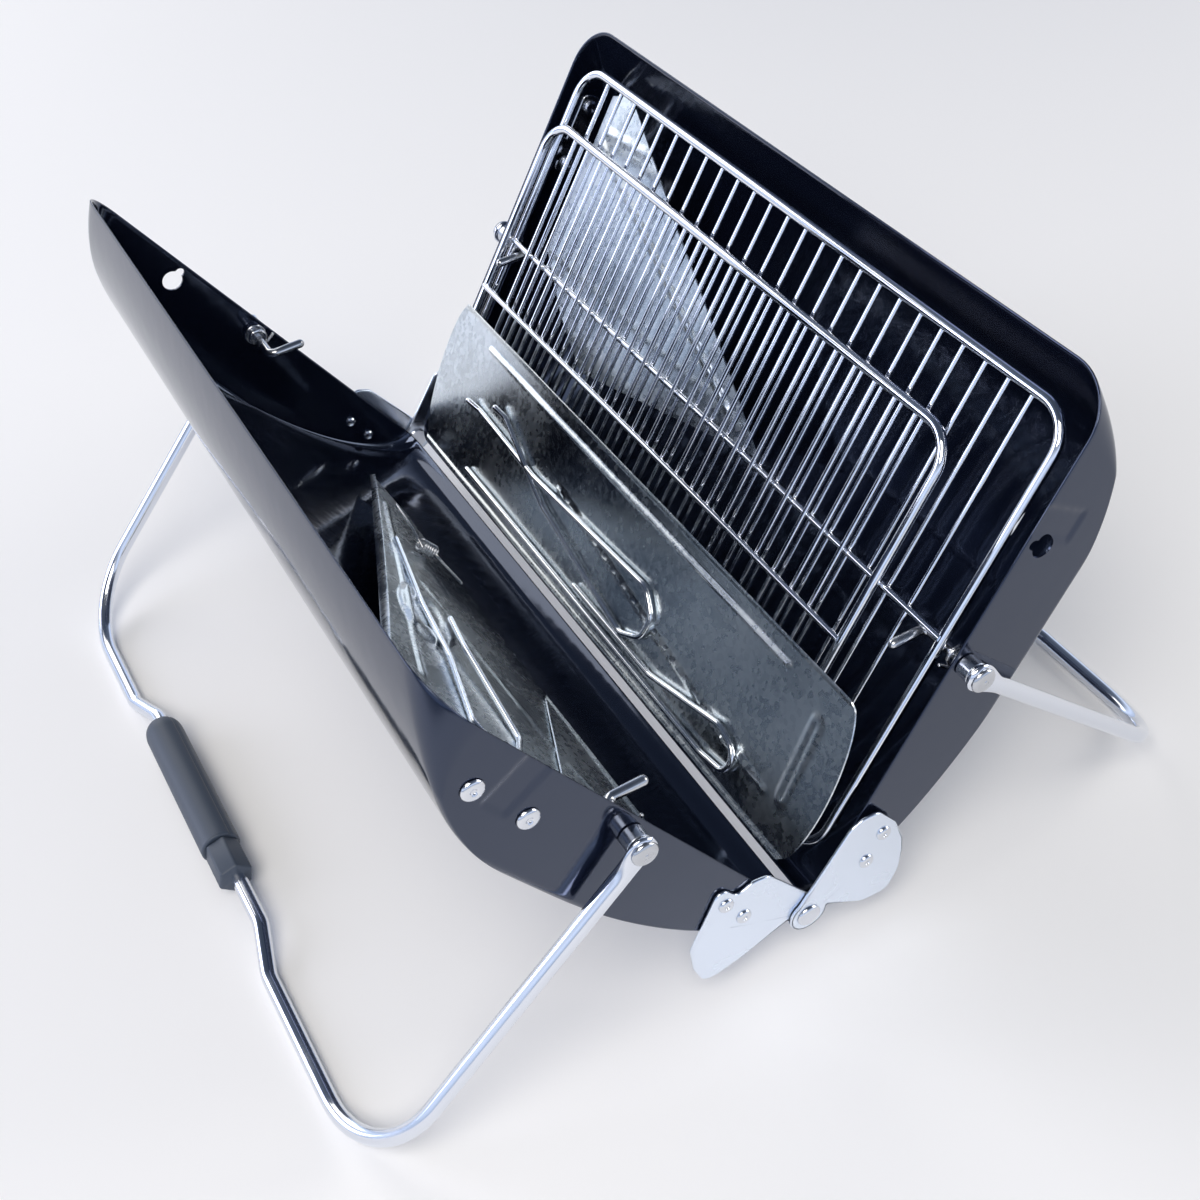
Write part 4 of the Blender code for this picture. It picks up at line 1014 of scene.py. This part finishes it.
def build_left_tray():
    """The tray in the left shell: a standing flange along its slanted edge, an oval boss and creases."""
    matrix, _ = tray_frame("left", LEFT_TRAY_LOWER, LEFT_TRAY_UPPER)
    near = INNER_END - LEFT_TRAY_END_GAP
    bends = (0.010, 0.045, 0.152, 0.160)
    across = np.unique(np.concatenate([np.linspace(0.0002, 0.1648, 130), bends]))
    low = by_lines([(0, -0.120), (0.010, -0.158), (0.152, 0.105), (0.165, 0.150)])(across)
    high = by_lines([(0, 0.070), (0.045, near), (0.160, near), (0.165, 0.1505)])(across)

    def height(x, y):
        turn = math.radians(28)
        along = (x - 0.074) * math.sin(turn) + (y - 0.020) * math.cos(turn)
        aside = (x - 0.074) * math.cos(turn) - (y - 0.020) * math.sin(turn)
        oval = np.hypot(along / 0.026, aside / 0.0135)
        boss = 1 - smooth_step(oval, 1.05, 1.35)
        ring_in = 1 - smooth_step(oval, 0.55, 0.80)
        crease = ridge(x, y, (0.020, -0.120), (0.120, 0.090), 0.0030)
        crease += ridge(x, y, (0.035, 0.150), (0.052, -0.020), 0.0025)
        return 0.0016 * boss - 0.0012 * ring_in + 0.0009 * crease + wave(x, y, 3, 0.0006)

    shape = Shape()
    shape.slab(field(across, low, high, 300, height), SIZES.tray_sheet)
    start, stop = FLANGE_LINE
    run = stop - start
    side = np.array((-run[1], run[0])) / np.linalg.norm(run)
    share = np.linspace(0, 1, 160)[:, None]
    rise = np.linspace(0, 1, 10)[None, :]
    lean = side[:, None, None] * 0.0012 * rise**2
    x, y = start[0] + run[0] * share + lean[0], start[1] + run[1] * share + lean[1]
    arch = np.sqrt(np.clip(np.sin(math.pi * np.clip(share, 0.01, 0.99)), 0, 1))
    tall = (FLANGE_HEIGHT - TRAY_HALF_SHEET) * rise * (0.35 + 0.65 * arch)
    shape.slab(np.stack([x, y, tall + 0 * x], axis=-1), SIZES.tray_sheet)
    shape.piece("left_tray", matrix, "galvanised_sheet", "left_tray", 50)


def build_cover_sheet():
    """The small three-cornered sheet on the left tray, turned up along its long edge."""
    matrix, _ = tray_frame("left", LEFT_TRAY_LOWER, LEFT_TRAY_UPPER)
    near = INNER_END - LEFT_TRAY_END_GAP - COVER_SHEET_GAP
    across = np.unique(np.concatenate([np.linspace(0.0042, 0.0618, 60), (0.006, 0.060)]))
    low = by_lines([(0.004, near - 0.02), (0.006, 0.052), (0.060, 0.140), (0.062, near - 0.02)])(across)
    high = np.full(len(across), near)

    def height(x, y):
        edge = 0.0015 * (1 - smooth_step(x, 0.0045, 0.0080))
        crease = 0.0007 * ridge(x, y, (0.020, near), (0.040, 0.120), 0.003)
        return SIZES.tray_sheet + GAP + edge + crease + wave(x, y, 4, 0.0002)

    shape = Shape()
    shape.slab(field(across, low, high, 120, height), SIZES.tray_sheet)
    shape.piece("left_cover_sheet", matrix, "galvanised_sheet", "left_cover_sheet", 50, "left_cover_visual")


# Wire tools


def tool_paths():
    """The tools' corners: distance from the tray's lower edge, share of the inside half length, height."""
    fork = [(0.046, 0.718, 0.002), (0.046, 0.661, 0), (0.043, 0.335, 0), (0.050, -0.220, 0),
            (0.040, -0.278, 0), (0.026, -0.268, 0), (0.018, -0.192, 0), (0.034, 0.263, 0),
            (0.056, 0.536, 0), (0.057, 0.584, 0.002)]
    lifter = [(0.0100, 0.638, 0), (0.0080, -0.593, 0), (0.0110, -0.689, 0), (0.0240, -0.689, 0),
              (0.0280, -0.612, 0), (0.0150, -0.344, 0), (0.0150, 0.030, 0)]
    hook = [(0.048, -0.297, 0), (0.074, 0.057, 0), (0.086, 0.297, 0), (0.110, 0.584, 0), (0.104, 0.642, 0),
            (0.088, 0.642, 0), (0.076, 0.565, 0), (0.068, 0.230, 0.002), (0.060, 0.096, 0.002)]
    return {"wire_fork": ("right", fork), "wire_lifter": ("right", lifter), "wire_hook": ("left", hook)}


def build_tool(name):
    """A bent wire tool lying on its tray."""
    side, corners = tool_paths()[name]
    low, high = (TRAY_LOWER, TRAY_UPPER) if side == "right" else (LEFT_TRAY_LOWER, LEFT_TRAY_UPPER)
    matrix, _ = tray_frame(side, low, high)
    lift = TRAY_HALF_SHEET + GAP + SIZES.tool_wire / 2
    corners = np.array(corners) * (1, INNER_END, 1) + (0, 0, lift)
    shape = Shape()
    shape.rod(even(rounded(corners, TOOL_BEND, 12), TOOL_STEP), SIZES.tool_wire / 2, 14)
    shape.piece(name, matrix, "chrome_tool", name, 60)


def build_spring():
    """The small coil spring between the trays, with one long straight arm and one short one."""
    matrix, _ = tray_frame("left", LEFT_TRAY_LOWER, LEFT_TRAY_UPPER)
    turns, radius, wire = SPRING_TURNS, SPRING_RADIUS, SPRING_WIRE
    turn = np.linspace(0, turns * math.tau, turns * 20)
    along = np.linspace(0, turns * wire * 2.6, len(turn))
    coil = np.stack([along, radius * np.cos(turn), radius * np.sin(turn)], axis=1)
    arm = np.array([(0.003, -0.012, 0.003), (0.004, -0.034, 0.004)]) + (along[-1], radius, 0)
    start = np.array([(-0.002, 0.030, 0.001), (-0.001, 0.012, 0.0)])
    path = np.concatenate([start, coil, arm]) + SPRING_AT
    shape = Shape()
    shape.rod(path, wire, 8, (1, 0, 0))
    shape.piece(None, matrix, "steel_pin", "left_tray", 60, "coil_spring")


# Stage


def build_stage(looks):
    """A pale floor, a soft sky with a brighter band, four broad lights and the camera."""
    scene = bpy.context.scene
    scene.view_settings.view_transform = "Standard"
    material, shader = finish("pale_floor", looks.floor, 0.85, 0.0, 1.45)
    shader.inputs["Specular IOR Level"].default_value = 0.2
    mesh = bpy.data.meshes.new("floor")
    size = 6.0
    corners = [(-size, -size, 0), (size, -size, 0), (size, size, 0), (-size, size, 0)]
    mesh.from_pydata(corners, [], [(0, 1, 2, 3)])
    mesh.materials.append(material)
    linked("floor", mesh)
    world = bpy.data.worlds.new("studio")
    world.use_nodes = True
    scene.world = world
    sky = world.node_tree.nodes["Background"]
    where = node(world, "ShaderNodeTexCoord").outputs["Generated"]
    parts = node(world, "ShaderNodeSeparateXYZ", {"Vector": where})
    ramp = node(world, "ShaderNodeValToRGB", {"Fac": parts.outputs["Z"]})
    stops = ramp.color_ramp.elements
    stops[0].position, stops[0].color = 0.0, linear("A8B8D4")
    stops[1].position, stops[1].color = 0.95, linear("3A4250")
    bright = stops.new(0.22)
    bright.color = linear("DCE8FF")
    dim = stops.new(0.55)
    dim.color = linear("646E80")
    world.node_tree.links.new(ramp.outputs["Color"], sky.inputs["Color"])
    sky.inputs["Strength"].default_value = looks.sky_strength
    lights = (
        ("key", (-0.9, -1.1, 1.9), 1.3, 30.0, "FFF9F0"),
        ("side", (1.9, -0.6, 0.9), 1.1, 13.0, "FFF8EE"),
        ("back", (-0.4, 1.9, 1.2), 1.4, 13.0, "FFFAF2"),
        ("left", (-1.9, 1.0, 0.9), 1.2, 14.0, "F0F0FF"),
    )
    for name, place, width, power, colour in lights:
        light = bpy.data.lights.new(name, "AREA")
        light.size, light.energy = width, power * looks.light_strength
        light.color = linear(colour)[:3]
        obj = linked(name, light)
        obj.location = place
        obj.rotation_euler = (Vector(place) - Vector((0, 0, 0.1))).to_track_quat("Z", "Y").to_euler()
    place_camera(looks)


def place_camera(looks):
    """The camera, looking down at the grill's near end from the left, rolled a little."""
    azimuth, elevation, roll = CAMERA_AZIMUTH, CAMERA_ELEVATION, CAMERA_ROLL
    flat = math.cos(elevation)
    back = np.array((math.sin(azimuth) * flat, -math.cos(azimuth) * flat, math.sin(elevation)))
    right = np.array((math.cos(azimuth), math.sin(azimuth), 0))
    up = np.cross(back, right)
    right, up = math.cos(roll) * right + math.sin(roll) * up, math.cos(roll) * up - math.sin(roll) * right
    place = right * CAMERA_SHIFT[0] + up * CAMERA_SHIFT[1] + back * CAMERA_DISTANCE + (0, 0, HINGE[2])
    matrix = np.eye(4)
    matrix[:3, :4] = np.stack([right, up, back, place], axis=1)
    data = bpy.data.cameras.new("camera")
    data.lens = looks.lens
    data.sensor_width = 36.0
    obj = linked("camera", data)
    obj.matrix_world = Matrix(matrix.tolist())
    bpy.context.scene.camera = obj


# Add-on


def length(name, description, default):
    """A length in metres that the panel shows."""
    return bpy.props.FloatProperty(name=name, description=description, default=default, unit="LENGTH")


def colour(name, description, default):
    """A colour as sRGB hex that the panel shows."""
    return bpy.props.StringProperty(name=name, description=description, default=default)


class CampGrillSizes(bpy.types.PropertyGroup):
    """Sizes of the grill's visible parts."""

    shell_sheet: length("Shell sheet", "Thickness of the shells' sheet", 0.0012)
    leg_rod: length("Leg rod", "Diameter of the leg rods", 0.008)
    grip_diameter: length("Grip", "Diameter of the grip", 0.020)
    clip_wire: length("Clip wire", "Diameter of the spring clips' wire", 0.0018)
    grid_frame: length("Grid frame", "Diameter of the grids' outer rod", 0.005)
    grid_wire: length("Grid wire", "Diameter of the grids' wires", 0.0025)
    grid_pitch: length("Grid pitch", "Distance between two grid wires", 0.0145)
    tray_sheet: length("Tray sheet", "Thickness of the galvanised sheets", 0.0010)
    tool_wire: length("Tool wire", "Diameter of the tools' wire", 0.0032)


class CampGrillLooks(bpy.types.PropertyGroup):
    """Colours, written as sRGB hex, and light."""

    enamel: colour("Enamel", "Colour of the shells' enamel", "0B0F1B")
    grip: colour("Grip", "Colour of the grip's plastic", "3D4756")
    zinc_dark: colour("Dark zinc", "Darker colour of the galvanised crystals", "B4BCC2")
    zinc_light: colour("Light zinc", "Lighter colour of the galvanised crystals", "E2E8EC")
    spangle: length("Spangle", "Width of a zinc crystal", 0.0026)
    floor: colour("Floor", "Colour of the floor", "F6F6F6")
    sky_strength: bpy.props.FloatProperty(name="Sky", description="Strength of the sky's light", default=1.22)
    light_strength: bpy.props.FloatProperty(name="Lights", description="Strength of the lights", default=1.1)
    lens: bpy.props.FloatProperty(
        name="Lens", description="Focal length of the camera", default=48.18, unit="CAMERA"
    )


class GRILL_OT_shells(bpy.types.Operator):
    """Build the two half shells."""

    bl_idname = "grill.shells"
    bl_label = "Shells"

    def execute(self, context):
        for side in ENDS:
            build_shell(side, SIZES.shell_sheet)
        return {"FINISHED"}


class GRILL_OT_hinges(bpy.types.Operator):
    """Build the hinge plates, their rivets and the two pivots."""

    bl_idname = "grill.hinges"
    bl_label = "Hinges"

    def execute(self, context):
        for side in ENDS:
            for kind, end, level in (("inner", 1, 0), ("outer", -1, 1)):
                build_plate(side, end, kind, level)
                for index, spot in enumerate(RIVET_SPOTS[kind]):
                    build_rivet(side, end, spot, level, f"{side}_{ENDS[side][end]}_hinge_rivet_{index + 1}")
        build_hinge_pin(1)
        build_hinge_pin(-1)
        return {"FINISHED"}


class GRILL_OT_latches(bpy.types.Operator):
    """Build the latch strips and their rivets."""

    bl_idname = "grill.latches"
    bl_label = "Latches"

    def execute(self, context):
        for side in ENDS:
            build_latch(side)
            for index, spot in enumerate(LATCH_SPOTS):
                name = f"{side}_latch_rivet_{index + 1}"
                build_rivet(side, 1, spot, -1, name, LATCH_HEAD, LATCH_HEAD_HEIGHT, LATCH_THICKNESS + GAP)
        return {"FINISHED"}


class GRILL_OT_legs(bpy.types.Operator):
    """Build the wire legs, their pins and fittings."""

    bl_idname = "grill.legs"
    bl_label = "Legs"

    def execute(self, context):
        for side in ENDS:
            build_leg(side)
            build_leg_fittings(side, 1)
            build_leg_fittings(side, -1)
        return {"FINISHED"}


class GRILL_OT_grip(bpy.types.Operator):
    """Build the plastic grip on the left leg."""

    bl_idname = "grill.grip"
    bl_label = "Grip"

    def execute(self, context):
        build_grip()
        return {"FINISHED"}


class GRILL_OT_grids(bpy.types.Operator):
    """Build the two wire grids."""

    bl_idname = "grill.grids"
    bl_label = "Grids"

    def execute(self, context):
        for name in ("rear_grid", "front_grid"):
            build_grid(name)
        return {"FINISHED"}


class GRILL_OT_trays(bpy.types.Operator):
    """Build the galvanised trays and sheets."""

    bl_idname = "grill.trays"
    bl_label = "Trays"

    def execute(self, context):
        build_leaning_tray()
        build_rear_sheet()
        build_left_tray()
        build_cover_sheet()
        return {"FINISHED"}


class GRILL_OT_tools(bpy.types.Operator):
    """Build the wire tools and the small spring."""

    bl_idname = "grill.tools"
    bl_label = "Tools"

    def execute(self, context):
        for name in tool_paths():
            build_tool(name)
        build_spring()
        return {"FINISHED"}


class GRILL_OT_stage(bpy.types.Operator):
    """Build the floor, the light and the camera."""

    bl_idname = "grill.stage"
    bl_label = "Stage"

    def execute(self, context):
        build_stage(context.scene.camp_grill_looks)
        return {"FINISHED"}


OPERATORS = (
    GRILL_OT_shells,
    GRILL_OT_hinges,
    GRILL_OT_latches,
    GRILL_OT_legs,
    GRILL_OT_grip,
    GRILL_OT_grids,
    GRILL_OT_trays,
    GRILL_OT_tools,
    GRILL_OT_stage,
)


class GRILL_PT_panel(bpy.types.Panel):
    """The grill's sizes, looks and buttons."""

    bl_label = "Camp grill"
    bl_space_type = "VIEW_3D"
    bl_region_type = "UI"
    bl_category = "Camp grill"

    def draw(self, context):
        for group in (context.scene.camp_grill_sizes, context.scene.camp_grill_looks):
            for name in type(group).__annotations__:
                self.layout.prop(group, name)
        for operator in OPERATORS:
            self.layout.operator(operator.bl_idname)


CLASSES = (CampGrillSizes, CampGrillLooks, *OPERATORS, GRILL_PT_panel)
SIZES = None


def register():
    for item in CLASSES:
        bpy.utils.register_class(item)
    bpy.types.Scene.camp_grill_sizes = bpy.props.PointerProperty(type=CampGrillSizes)
    bpy.types.Scene.camp_grill_looks = bpy.props.PointerProperty(type=CampGrillLooks)


def unregister():
    del bpy.types.Scene.camp_grill_looks
    del bpy.types.Scene.camp_grill_sizes
    for item in reversed(CLASSES):
        bpy.utils.unregister_class(item)


def main():
    global SIZES
    register()
    SIZES = bpy.context.scene.camp_grill_sizes
    make_materials(bpy.context.scene.camp_grill_looks)
    bpy.ops.grill.shells()
    bpy.ops.grill.hinges()
    bpy.ops.grill.latches()
    bpy.ops.grill.legs()
    bpy.ops.grill.grip()
    bpy.ops.grill.grids()
    bpy.ops.grill.trays()
    bpy.ops.grill.tools()
    bpy.ops.grill.stage()


if __name__ == "__main__":
    main()
